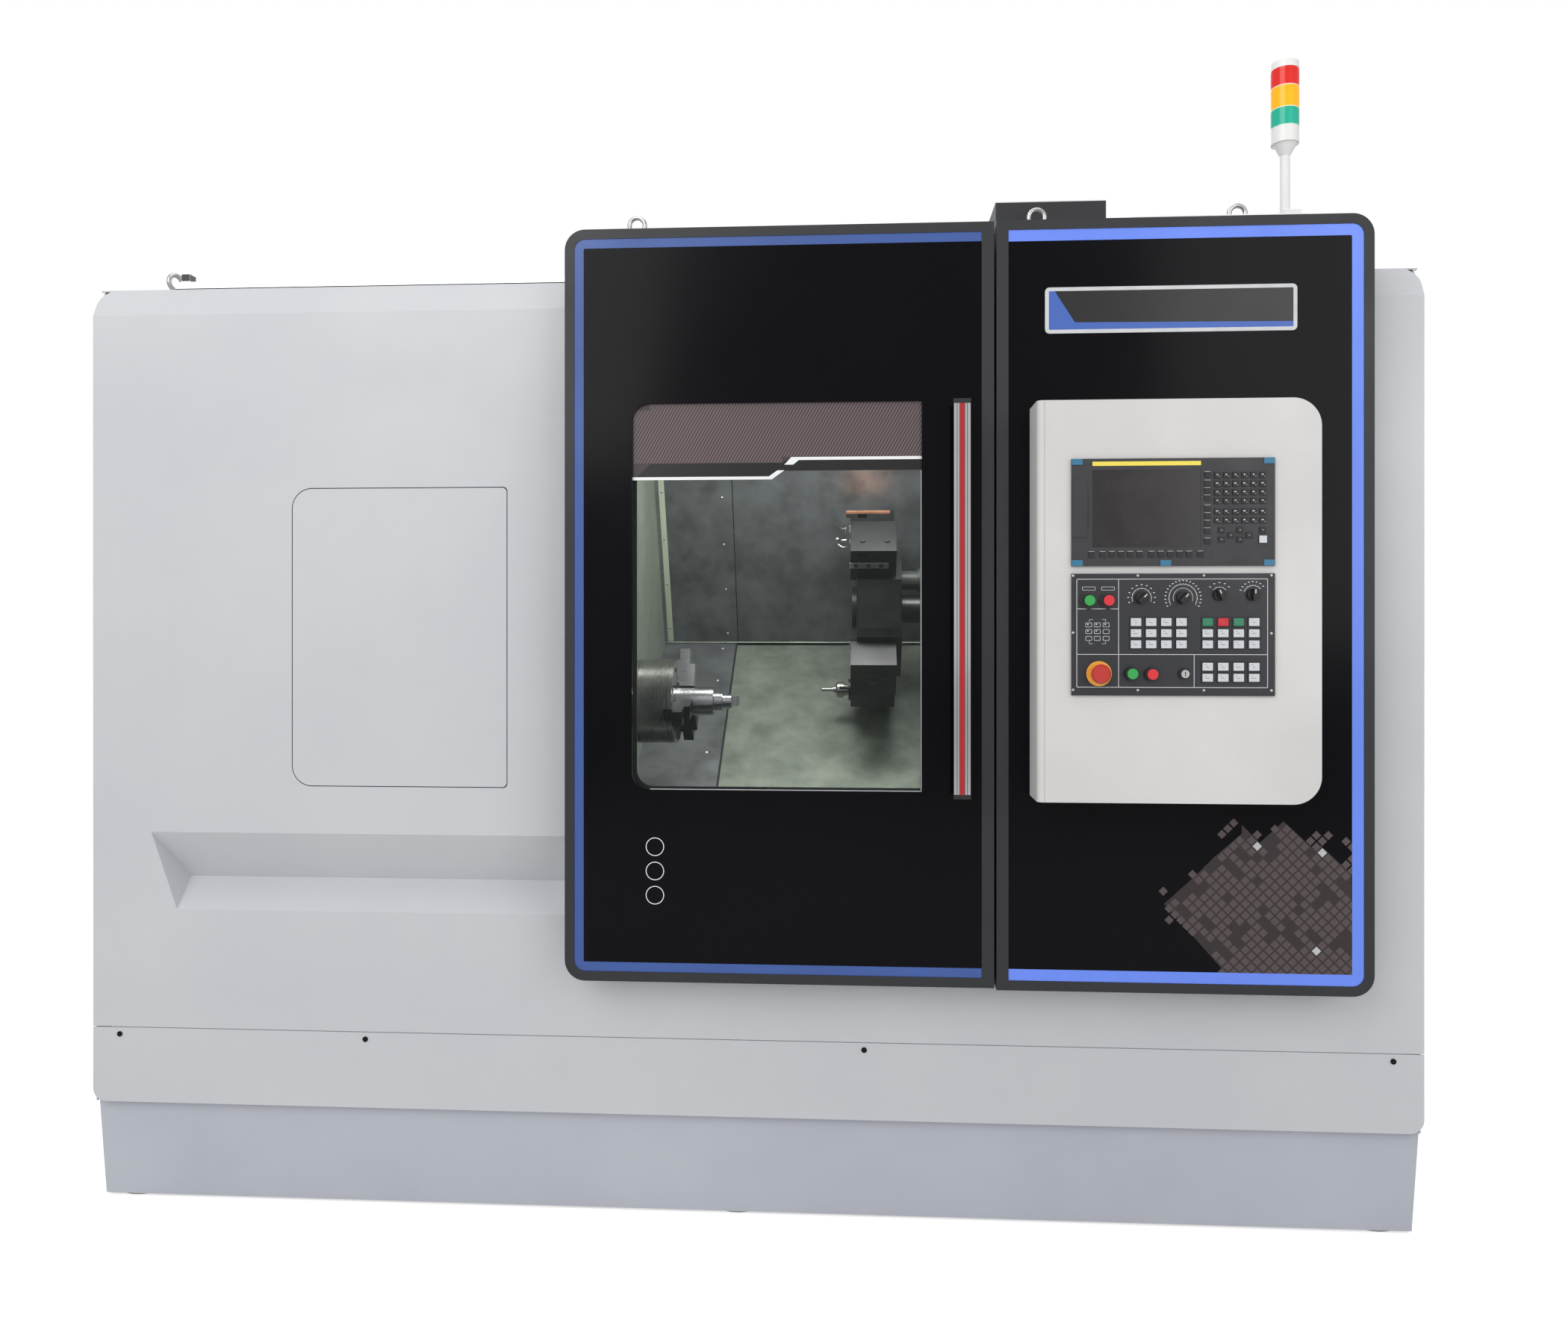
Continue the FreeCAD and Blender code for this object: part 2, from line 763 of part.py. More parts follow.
def display_bezel():
    front = console_y - panel_thickness
    plate = box(panel_left, panel_left + panel_width, front, console_y,
                display_bottom, display_top)
    return plate.cut(screen_box(front, front + screen_recess))


def display_screen():
    back = console_y - panel_thickness + screen_recess
    return screen_box(back - screen_thickness, back)


def spaced(start, pitch, count):
    """Evenly spaced distances along a row or column of keys."""
    return [start + pitch * step for step in range(count)]


def grid(columns, rows):
    """Every place in a block of keys."""
    return [(column, row) for column in columns for row in rows]


def key_caps(top, places, width, height, rim=0.0):
    """Raised keys on a plate, each on its own rim, placed from the plate's upper left corner."""
    front = console_y - panel_thickness
    caps = []
    for right, down in places:
        x, z = panel_left + right, top - down
        base = box(x - width / 2 - rim, x + width / 2 + rim, front - key_rim_height, front,
                   z - height / 2 - rim, z + height / 2 + rim)
        cap = box(x - width / 2, x + width / 2, front - key_height, front,
                  z - height / 2, z + height / 2)
        caps.append(fused([base, cap]))
    return caps


def mdi_keys():
    """Letter keys, cursor keys and the two rows of soft keys on the display."""
    columns = spaced(287.4, 17.72, 6)
    letters = grid(columns, spaced(34.8, 17.15, 4) + spaced(107.5, 17.6, 2))
    cursors = [(295.2, 144.7), (295.2, 163.3), (313.4, 154.9), (331.3, 144.7), (331.3, 163.3),
               (349.3, 154.9), (376.0, 144.7)]
    side = grid([267.8], [33.8] + spaced(51.0, 14.8, 3) + spaced(100.8, 15.2, 4) + [166.7])
    below = grid([39.2] + spaced(60.9, 18.4, 5) + spaced(157.9, 18.5, 5) + [253.9], [192.7])
    caps = key_caps(display_top, letters + cursors, 12.4, 12.0)
    caps += key_caps(display_top, side + below, 11.4, 10.8)
    caps += key_caps(display_top, [(376.0, 163.3)], 15.5, 15.0)
    return group(caps)


# --- controls: places on the operator plate, from its upper left corner ------------------------
button_centres = {
    "power_on": (34.0, 54.0), "power_off": (72.0, 54.0),
    "cycle_start": (118.5, 201.0), "feed_hold": (158.0, 202.0),
    "estop_button": (53.5, 201.0), "key_switch": (222.5, 201.0),
    "mode_knob": (138.5, 49.0), "rapid_knob": (220.0, 49.0),
    "feed_knob": (291.5, 42.5), "spindle_knob": (357.0, 42.5),
}
button_radius = 10.5
button_stem = 5.0
stem_clearance = 0.3
button_reach = 12.0
button_travel = 3.0
collar_radius = 14.0
collar_height = 8.0
estop_radius = 19.6
estop_reach = 28.0
estop_cap = 12.0
estop_ring_radius = 24.6
estop_ring_height = 3.0
knob_radius = 12.5
knob_height = 16.0
key_radius = 8.0
knob_points = {"mode_knob": 45.0, "rapid_knob": 40.0, "feed_knob": -25.0, "spindle_knob": 0.0}
stem_behind = 25.0


def control_place(name):
    """X, face Y and Z of a control on the operator plate."""
    right, down = button_centres[name]
    return panel_left + right, console_y - panel_thickness, plate_top - down


def operator_plate():
    """The plate, with a hole for each control's stem."""
    front = console_y - panel_thickness
    plate = box(panel_left, panel_left + panel_width, front, console_y, plate_bottom, plate_top)
    for name in button_centres:
        x, y, z = control_place(name)
        plate = plate.cut(rod((x, y, z), (0, 1, 0), button_stem + stem_clearance,
                              panel_thickness))
    return plate


def panel_keys():
    """Framed keys in two blocks of twelve and one of eight."""
    rows = spaced(97.4, 22.3, 3)
    left, right = spaced(126.8, 29.85, 4), spaced(267.8, 30.3, 4)
    places = grid(left, rows) + grid(right, rows) + grid(right, spaced(186.6, 22.0, 2))
    return group(key_caps(plate_top, places, 21.0, 16.2, 2.6))


def ring(name, outer, inner, height):
    x, y, z = control_place(name)
    body = rod((x, y, z), (0, -1, 0), outer, height)
    return body.cut(rod((x, y, z), (0, -1, 0), inner, height))


def button_collars():
    """Fixed rings round the push buttons, the emergency stop and the key switch."""
    rings = [ring(name, collar_radius, button_radius + stem_clearance, collar_height)
             for name in ("power_on", "power_off", "cycle_start", "feed_hold")]
    rings.append(ring("estop_button", estop_ring_radius, button_stem + stem_clearance,
                      estop_ring_height))
    rings.append(ring("key_switch", key_radius + 3.5, key_radius + stem_clearance, 5.0))
    return group(rings)


def stem(name, height):
    """The round stem of a control, from behind the plate up to a height in front of it."""
    x, y, z = control_place(name)
    return rod((x, y + stem_behind, z), (0, -1, 0), button_stem, stem_behind + height)


def push_button(name):
    x, y, z = control_place(name)
    cap = rod((x, y - button_travel - 1, z), (0, -1, 0), button_radius,
              button_reach - button_travel - 1)
    return fused([stem(name, button_reach - 1), cap])


def estop_button():
    """Mushroom head on its stem."""
    x, y, z = control_place("estop_button")
    skirt = Part.makeCone(estop_radius * 0.72, estop_radius, estop_cap / 2,
                          vec(x, y - estop_reach + estop_cap, z), vec(0, -1, 0))
    crown = Part.makeCone(estop_radius, estop_radius * 0.8, estop_cap / 2,
                          vec(x, y - estop_reach + estop_cap / 2, z), vec(0, -1, 0))
    return fused([stem("estop_button", estop_reach - estop_cap), skirt, crown])


def knob(name):
    """A round knob with a raised grip, turned to where it points."""
    x, y, z = control_place(name)
    skirt = rod((x, y - 1, z), (0, -1, 0), knob_radius, 5.0)
    grip = box(x - 4, x + 4, y - knob_height, y - 5, z - knob_radius + 1.5,
               z + knob_radius - 1.5)
    grip.rotate(vec(x, y, z), vec(0, 1, 0), knob_points[name])
    return fused([stem(name, 5.0), skirt, grip])


def key_switch():
    """Lock barrel with its keyway; the key is out."""
    x, y, z = control_place("key_switch")
    barrel = rod((x, y - 1, z), (0, -1, 0), key_radius, 7.0)
    keyway = box(x - 1.0, x + 1.0, y - 9, y - 4, z - 4.5, z + 4.5)
    return fused([stem("key_switch", 3.0), barrel]).cut(keyway)



# --- working space -----------------------------------------------------------------------------
def bed_casting():
    """Slant bed of cast iron, standing on the base plate."""
    front_s = -cover_down_slope
    front_top = slope_yz(front_s, bed_n)
    back_top = slope_yz(fold_up_slope, bed_n)
    rear = back_top[0] + bed_back_land
    points = [(front_top[0], plinth_top), front_top, back_top, (rear, back_top[1]),
              (rear, plinth_top)]
    casting = side_profile(bed_left, bed_left + bed_length, points)
    wall = bed_wall
    hollow_low = front_top[1] - 2 * wall
    for x in (bed_left + wall, bed_left + bed_length / 2 + wall / 2):
        hollow = [(front_top[0] + wall, plinth_top), (front_top[0] + wall, hollow_low),
                  (back_top[0], back_top[1] - 2 * wall), (rear - wall, back_top[1] - 2 * wall),
                  (rear - wall, plinth_top)]
        casting = casting.cut(side_profile(x, x + bed_length / 2 - 1.5 * wall, hollow))
    return casting


def z_rails():
    """Two hardened guide rails along the bed."""
    right = guide_rail_left + guide_rail_length
    half = guide_rail_width / 2
    return group([slope_block(guide_rail_left, right, s - half, s + half, bed_n, rail_top_n)
                  for s in (lower_rail_s, upper_rail_s)])


def headstock():
    """Cast headstock with the bore that carries the spindle."""
    right = guard_x
    body = slope_block(right - headstock_length, right, -headstock_half, headstock_half,
                       bed_n, headstock_half)
    left = right - headstock_length + headstock_wall
    reach = headstock_half - headstock_wall
    body = body.cut(slope_block(left, right - headstock_wall, -reach, reach,
                                bed_n, -spindle_radius - headstock_wall))
    bore = rod((right - headstock_length, spindle_y, spindle_height), (1, 0, 0),
               spindle_radius + bearing_clearance, headstock_length)
    return body.cut(bore)


def wall_point(along):
    """A place on the upper back wall's face, measured up from the fold."""
    lean = math.radians(wall_angle)
    y, z = slope_yz(fold_up_slope, cover_n)
    return y - along * math.sin(lean), z + along * math.cos(lean)


def chuck_guard():
    """Left end of the working space, with a round hole for the spindle nose."""
    foot = slope_yz(-cover_down_slope, cover_n)
    top = wall_point(back_wall_height)
    front = cover_y + 4 * sheet
    points = [(front, foot[1]), foot, slope_yz(fold_up_slope, cover_n), top, (front, top[1])]
    plate = side_profile(guard_x, chamber_x, points)
    return plate.cut(rod((guard_x, spindle_y, spindle_height), (1, 0, 0),
                         guard_hole_radius, sheet))


def back_wall():
    """One folded sheet: the upper back wall, and the fixed part of the sloped floor."""
    fold, top = slope_yz(fold_up_slope, cover_n), wall_point(back_wall_height)
    right = bed_left + bed_length
    upper = [fold, top, (top[0] + sheet, top[1]), (fold[0] + sheet, fold[1])]
    wall = side_profile(chamber_x, right, upper)
    floor = slope_block(chamber_x, fixed_cover_right, -cover_down_slope, fold_up_slope + sheet,
                        cover_n - sheet, cover_n)
    return fused([wall, floor])


def sloped_cover(left, right, level):
    """A sliding floor plate, a few levels under the fixed one."""
    top = cover_n - level * cover_pitch
    return slope_block(left, right, -cover_down_slope + 2 * sheet, fold_up_slope - 3 * sheet,
                       top - sheet, top)


def pad_extent(clear=0.0):
    """Left, right, lower and upper limits of the pad that carries the cross slide."""
    low = turret_up_slope - slide_in - housing_half - 10.0
    high = turret_up_slope + housing_half + 10.0
    left = saddle_x + pad_margin
    return left - clear, left + pad_length + clear, low - clear, high + clear


def saddle_way_cover():
    """Sliding floor plate on the saddle, cut out round the pad."""
    left = fixed_cover_right - 29.0
    right = saddle_x + saddle_length + 100.0
    x0, x1, s0, s1 = pad_extent()
    cover = sloped_cover(left, right, 1)
    return cover.cut(slope_block(x0, x1, s0, s1, cover_n - 4 * cover_pitch, cover_n))


def middle_way_cover():
    """Sliding floor plate that follows the saddle at half its travel."""
    left = chamber_x + 2.0 + saddle_left_travel / 2
    return sloped_cover(left, left + 236.0, 2)


def saddle():
    """Carriage on the guide rails, with the raised pad for the cross slide."""
    rail_gap = running_gap
    body = slope_block(saddle_x, saddle_x + saddle_length, lower_rail_s - 60, upper_rail_s + 60,
                       rail_top_n + rail_gap, saddle_top_n)
    x0, x1, s0, s1 = pad_extent()
    pad = slope_block(x0, x1, s0, s1, saddle_top_n, pad_top_n)
    keepers = []
    half = guide_rail_width / 2 + rail_gap
    for s in (lower_rail_s, upper_rail_s):
        for start in (s - half - 20, s + half):
            keepers.append(slope_block(saddle_x, saddle_x + saddle_length, start, start + 20,
                                       rail_top_n - 20, rail_top_n + rail_gap))
    return fused([body, pad] + keepers)


def turret_housing():
    """Cross slide and turret casting, with the bore for the turret's hub."""
    x0, x1, _, _ = pad_extent()
    low, high = turret_up_slope - housing_half, turret_up_slope + housing_half
    base_n = pad_top_n + running_gap
    base = slope_block(x0, x1, low, high, base_n, base_n + slide_base_height)
    body = slope_block(housing_x, housing_x + housing_length, low, high,
                       base_n + slide_base_height, housing_above)
    edges = [e for e in body.Edges if abs(e.Vertexes[0].X - e.Vertexes[-1].X) > housing_length / 2]
    top_edges = [e for e in edges if e.Vertexes[0].Z > spindle_height + housing_above]
    body = body.makeFillet(40.0, top_edges)
    y, z = turret_centre()
    bore = rod((housing_x, y, z), (1, 0, 0), hub_radius + bearing_clearance, hub_length)
    disc_back = disc_x + disc_thickness
    union = [rod((start, y, z + union_above), (1, 0, 0), radius, housing_x + 1 - start)
             for start, radius in ((disc_back + 2.0, union_radius),
                                   (housing_x - 30.0, union_radius + 6.0),
                                   (housing_x - 12.0, union_radius + union_ring))]
    return fused([base, body] + union).cut(bore)


def turret_centre():
    return slope_yz(turret_up_slope, 0.0)


def at_station(shape, station):
    """A shape drawn at the top of the turret, turned to a station; 1 is one step forward."""
    y, z = turret_centre()
    return tilted(shape, station * 360.0 / station_count, (0, y, z))


def turret_disc():
    """Eight-sided disc with its hub and locking ring."""
    y, z = turret_centre()
    reach = disc_apothem / math.cos(math.pi / station_count)
    points = []
    for step in range(station_count):
        angle = (step + 0.5) * 2 * math.pi / station_count
        points.append((y + reach * math.sin(angle), z + reach * math.cos(angle)))
    disc = side_profile(disc_x, disc_x + disc_thickness, points)
    hub = rod((disc_x + disc_thickness - 1, y, z), (1, 0, 0), hub_radius, hub_length)
    boss = rod((disc_x - 12, y, z), (1, 0, 0), boss_radius, 13.0)
    return fused([disc, hub, boss])


def holder_block():
    """A tool block on the top flat of the disc, before its own features."""
    y, z = turret_centre()
    bottom = z + disc_apothem
    block = box(block_x, block_x + block_length, y - block_width / 2, y + block_width / 2,
                bottom, bottom + block_height)
    return block


def turning_holder():
    """Square-shank tool in a slot under a bolted top plate."""
    y, z = turret_centre()
    top = z + disc_apothem + block_height
    under = top - top_plate
    block = holder_block().cut(box(block_x + 20, block_x + 45, y - 90, y + 90, under - 36, under))
    shank = box(block_x + 20, block_x + 45, y - block_width / 2, y + block_width / 2 - 1,
                under - 36, under - 11)
    bolts = [rod((block_x + share * block_length, y - 20, top - 1), (0, 0, 1), 7.0, 4.0)
             for share in (0.27, 0.8)]
    return fused([block, shank] + bolts)


def blank_plate():
    """A low cover plate, for a station with no tool."""
    y, z = turret_centre()
    half = block_width / 2 - 6
    bottom = z + disc_apothem
    return box(disc_x + 6, disc_x + disc_thickness - 6, y - half, y + half,
               bottom, bottom + blank_height)


def capped_holder():
    """A block whose socket is closed by a domed plug in a collar."""
    y, z = turret_centre()
    top = z + disc_apothem + block_height
    middle = block_x + block_length / 2
    collar = rod((middle, y, top - 1), (0, 0, 1), cap_radius, cap_collar + 1)
    dome = Part.makeSphere(cap_dome, vec(middle, y, top + cap_rise - cap_dome))
    dome = dome.common(box(middle - 60, middle + 60, y - 60, y + 60, top, top + 60))
    return fused([holder_block(), collar, dome])


def driven_holder():
    """A block with a bore for the driven collet and two coolant pipes."""
    y, z = turret_centre()
    centre = z + live_tool_radius
    nose = rod((block_x - 6, y, centre), (1, 0, 0), 30.0, 8.0)
    body = fused([holder_block(), nose])
    body = body.cut(rod((block_x - 8, y, centre), (1, 0, 0),
                        live_shank_radius + bearing_clearance, live_shank_length))
    pipes = [rod((block_x - 30, y + side * 42.0, centre - 8), (1, 0, 0), 4.0, 32.0)
             for side in (-1, 1)]
    return fused([body] + pipes)


def tool_holders():
    """One block at each station; the driven one is at the bottom."""
    kinds = (turning_holder, turning_holder, blank_plate, capped_holder,
             driven_holder, turning_holder, blank_plate, turning_holder)
    return group([at_station(kind(), station) for station, kind in enumerate(kinds)])


def live_tool():
    """Collet nut and drill of the driven station, pointing at the chuck."""
    y, z = turret_centre()
    centre = z + live_tool_radius
    nut_x = block_x - 7 - collet_length
    parts = [rod((nut_x, y, centre), (1, 0, 0), collet_radius, collet_length * 0.6),
             Part.makeCone(collet_radius - 5, collet_radius, 4.0, vec(nut_x - 4, y, centre),
                           vec(1, 0, 0)),
             rod((nut_x, y, centre), (1, 0, 0), collet_radius - 5, collet_length),
             rod((nut_x + collet_length - 1, y, centre), (1, 0, 0), live_shank_radius,
                 live_shank_length - 4),
             rod((nut_x - drill_length, y, centre), (1, 0, 0), drill_radius, drill_length + 1),
             rod((nut_x - 12, y, centre), (1, 0, 0), drill_radius + 4, 13.0),
             Part.makeCone(drill_radius, 0.4, 4.0, vec(nut_x - drill_length, y, centre),
                           vec(-1, 0, 0))]
    return at_station(fused(parts), station_count / 2)


# --- spindle -----------------------------------------------------------------------------------
def spindle_rod(x0, x1, radius):
    return rod((x0, spindle_y, spindle_height), (1, 0, 0), radius, x1 - x0)


def spindle_shaft():
    """Hollow spindle through the headstock."""
    left = guard_x - headstock_length - spindle_tail
    right = chuck_face_x - chuck_length - chuck_adapter_length
    return spindle_rod(left, right, spindle_radius).cut(spindle_rod(left, right, chuck_bore))


def at_jaw(shape, index):
    """A shape drawn above the spindle axis, turned to a jaw's place."""
    angle = jaw_first_angle + index * 360.0 / jaw_count
    return tilted(shape, angle, (0, spindle_y, spindle_height))


def chuck_body():
    """Chuck with its adapter, bore and three radial slots."""
    back = chuck_face_x - chuck_length
    body = fused([spindle_rod(back, chuck_face_x, chuck_radius),
                  spindle_rod(back - chuck_adapter_length, back, chuck_adapter_radius)])
    body = body.cut(spindle_rod(back - chuck_adapter_length, chuck_face_x, chuck_bore))
    half = jaw_slot_width / 2
    slot = box(chuck_face_x - jaw_slot_depth, chuck_face_x, spindle_y - half, spindle_y + half,
               spindle_height + jaw_slot_inner, spindle_height + chuck_radius + 1)
    for index in range(jaw_count):
        body = body.cut(at_jaw(slot, index))
    return body


def chuck_jaw(index):
    """Stepped hard jaw on its sliding base, with two sunk screw holes."""
    grip = blank_radius + running_gap
    half, slot_half = jaw_width / 2, jaw_slot_width / 2 - running_gap
    x0 = chuck_face_x + jaw_gap
    base = box(chuck_face_x - jaw_slot_depth + running_gap, x0, spindle_y - slot_half,
               spindle_y + slot_half, spindle_height + jaw_slot_inner + 4,
               spindle_height + chuck_radius - 2)
    top = box(x0, x0 + jaw_length, spindle_y - half, spindle_y + half,
              spindle_height + grip, spindle_height + jaw_outer)
    step = box(x0 + jaw_length - jaw_step, x0 + jaw_length, spindle_y - half, spindle_y + half,
               spindle_height + jaw_step_radius, spindle_height + jaw_outer)
    jaw = fused([base, top.cut(step)])
    for radius in (jaw_step_radius - 24.0, jaw_step_radius + 18.0):
        jaw = jaw.cut(rod((x0 + jaw_length / 3, spindle_y, spindle_height + radius), (1, 0, 0),
                          jaw_screw_radius, jaw_length))
    return at_jaw(jaw, index)


def workpiece():
    """The turned blank in the chuck: three diameters and a square end."""
    x = chuck_face_x
    parts = [spindle_rod(x, x + blank_length, blank_radius)]
    x += blank_length
    for radius, length in blank_steps:
        parts.append(spindle_rod(x - 1, x + length, radius))
        x += length
    half = blank_square / 2
    parts.append(box(x - 1, x + blank_square_length, spindle_y - half, spindle_y + half,
                     spindle_height - half, spindle_height + half))
    return fused(parts)


# --- the whole machine -------------------------------------------------------------------------
def all_nodes():
    """Every sub-part by name."""
    nodes = {}
    for build in (plinth_shell, leveling_feet, kick_panel, cover_screws, front_cover,
                  service_hatch, end_covers, rear_cover, rear_cabinet, roof_cover, lifting_eyes,
                  top_box, tower_pole, door_shell, door_fascia, door_window, door_handle, door_rail,
                  door_carriages, module_frame, module_fascia, console_housing, display_bezel,
                  display_screen, mdi_keys, operator_plate, panel_keys, button_collars,
                  estop_button, key_switch, bed_casting, z_rails, headstock, chuck_guard,
                  back_wall, saddle_way_cover, middle_way_cover, saddle, turret_housing,
                  turret_disc, tool_holders, live_tool, spindle_shaft, chuck_body, workpiece):
        nodes[build.__name__] = build()
    nodes["tower_lens_green"] = tower_lens(tower_level(tower_neck, tower_base), lens_green)
    nodes["tower_lens_amber"] = tower_lens(
        tower_level(tower_neck, tower_base, lens_green), lens_amber)
    nodes["tower_lens_red"] = tower_lens(
        tower_level(tower_neck, tower_base, lens_green, lens_amber), lens_red)
    nodes["tower_cap"] = tower_lens(
        tower_level(tower_neck, tower_base, lens_green, lens_amber, lens_red), tower_cap_height)
    for name in ("power_on", "power_off", "cycle_start", "feed_hold"):
        nodes[name] = push_button(name)
    for name in ("mode_knob", "rapid_knob", "feed_knob", "spindle_knob"):
        nodes[name] = knob(name)
    for index in range(jaw_count):
        nodes[f"chuck_jaw_{index + 1}"] = chuck_jaw(index)
    return nodes


def main():
    os.makedirs("parts", exist_ok=True)
    for name, shape in all_nodes().items():
        if not shape.isValid():
            raise ValueError(f"{name} isn't a valid solid")
        shape.exportStep(f"parts/{name}.step")
        print(name, len(shape.Solids), "solids", round(shape.Volume / 1e6, 3), "litres")


main()
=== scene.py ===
"""Looks for an enclosed turning lathe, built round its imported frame.

Every length is in metres and every place is worked out from the frame's own boxes.
"""
import logging
import math
import random
from dataclasses import dataclass
from enum import Enum

import bmesh
import bpy
from mathutils import Matrix, Vector


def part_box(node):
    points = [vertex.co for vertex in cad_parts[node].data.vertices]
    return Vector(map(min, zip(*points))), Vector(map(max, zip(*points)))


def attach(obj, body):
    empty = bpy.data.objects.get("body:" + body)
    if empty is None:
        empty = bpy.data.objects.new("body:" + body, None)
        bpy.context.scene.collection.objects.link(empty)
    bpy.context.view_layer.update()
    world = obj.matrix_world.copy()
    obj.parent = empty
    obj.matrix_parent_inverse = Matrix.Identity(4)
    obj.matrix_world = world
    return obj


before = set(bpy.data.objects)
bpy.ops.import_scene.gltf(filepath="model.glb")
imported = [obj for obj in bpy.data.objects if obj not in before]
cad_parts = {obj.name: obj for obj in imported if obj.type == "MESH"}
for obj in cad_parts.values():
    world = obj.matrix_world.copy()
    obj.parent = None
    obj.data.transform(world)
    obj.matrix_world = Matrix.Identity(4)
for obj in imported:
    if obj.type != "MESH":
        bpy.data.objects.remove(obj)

LOG = logging.getLogger("lathe")
MM = 0.001
Point = tuple[float, float, float]
Pair = tuple[float, float]


# ------------------------------------------------------------------------------------ finishes
def linear(colour: str) -> tuple[float, float, float, float]:
    """Turns an sRGB hex colour to linear red, green, blue and alpha.

    Args:
        colour: six hex digits after a hash sign.

    Returns:
        The linear colour with full alpha.
    """
    channels = [int(colour[i:i + 2], 16) / 255 for i in (1, 3, 5)]
    lit = [c / 12.92 if c <= 0.04045 else ((c + 0.055) / 1.055) ** 2.4 for c in channels]
    return (lit[0], lit[1], lit[2], 1.0)


def add_node(tree: bpy.types.NodeTree, kind: str, settings: dict | None = None,
             links: dict | None = None) -> bpy.types.Node:
    """Adds one node with its settings and incoming links.

    Args:
        tree: the material's node tree.
        kind: the node's type name.
        settings: property names, or input names and numbers, with their values.
        links: input names or numbers with the output sockets that feed them.

    Returns:
        The new node.
    """
    node = tree.nodes.new(kind)
    for key, value in (settings or {}).items():
        if isinstance(key, str) and key.islower():
            setattr(node, key, value)
        else:
            node.inputs[key].default_value = value
    for key, source in (links or {}).items():
        tree.links.new(source, node.inputs[key])
    return node


class Surface(Enum):
    """How a surface was made, which sets its fine relief."""

    POWDER_COAT = "powder coat"     # soft orange peel
    MOULDED = "moulded"             # fine spark-eroded grain
    PRINTED = "printed"             # flat ink or film
    POLISHED = "polished"           # no relief, faint wipe marks
    BRUSHED = "brushed"             # long scratches one way
    TURNED = "turned"               # rings round the X axis
    CAST = "cast"                   # sand-cast grain
    WIPED = "wiped"                 # rolled sheet with dried coolant


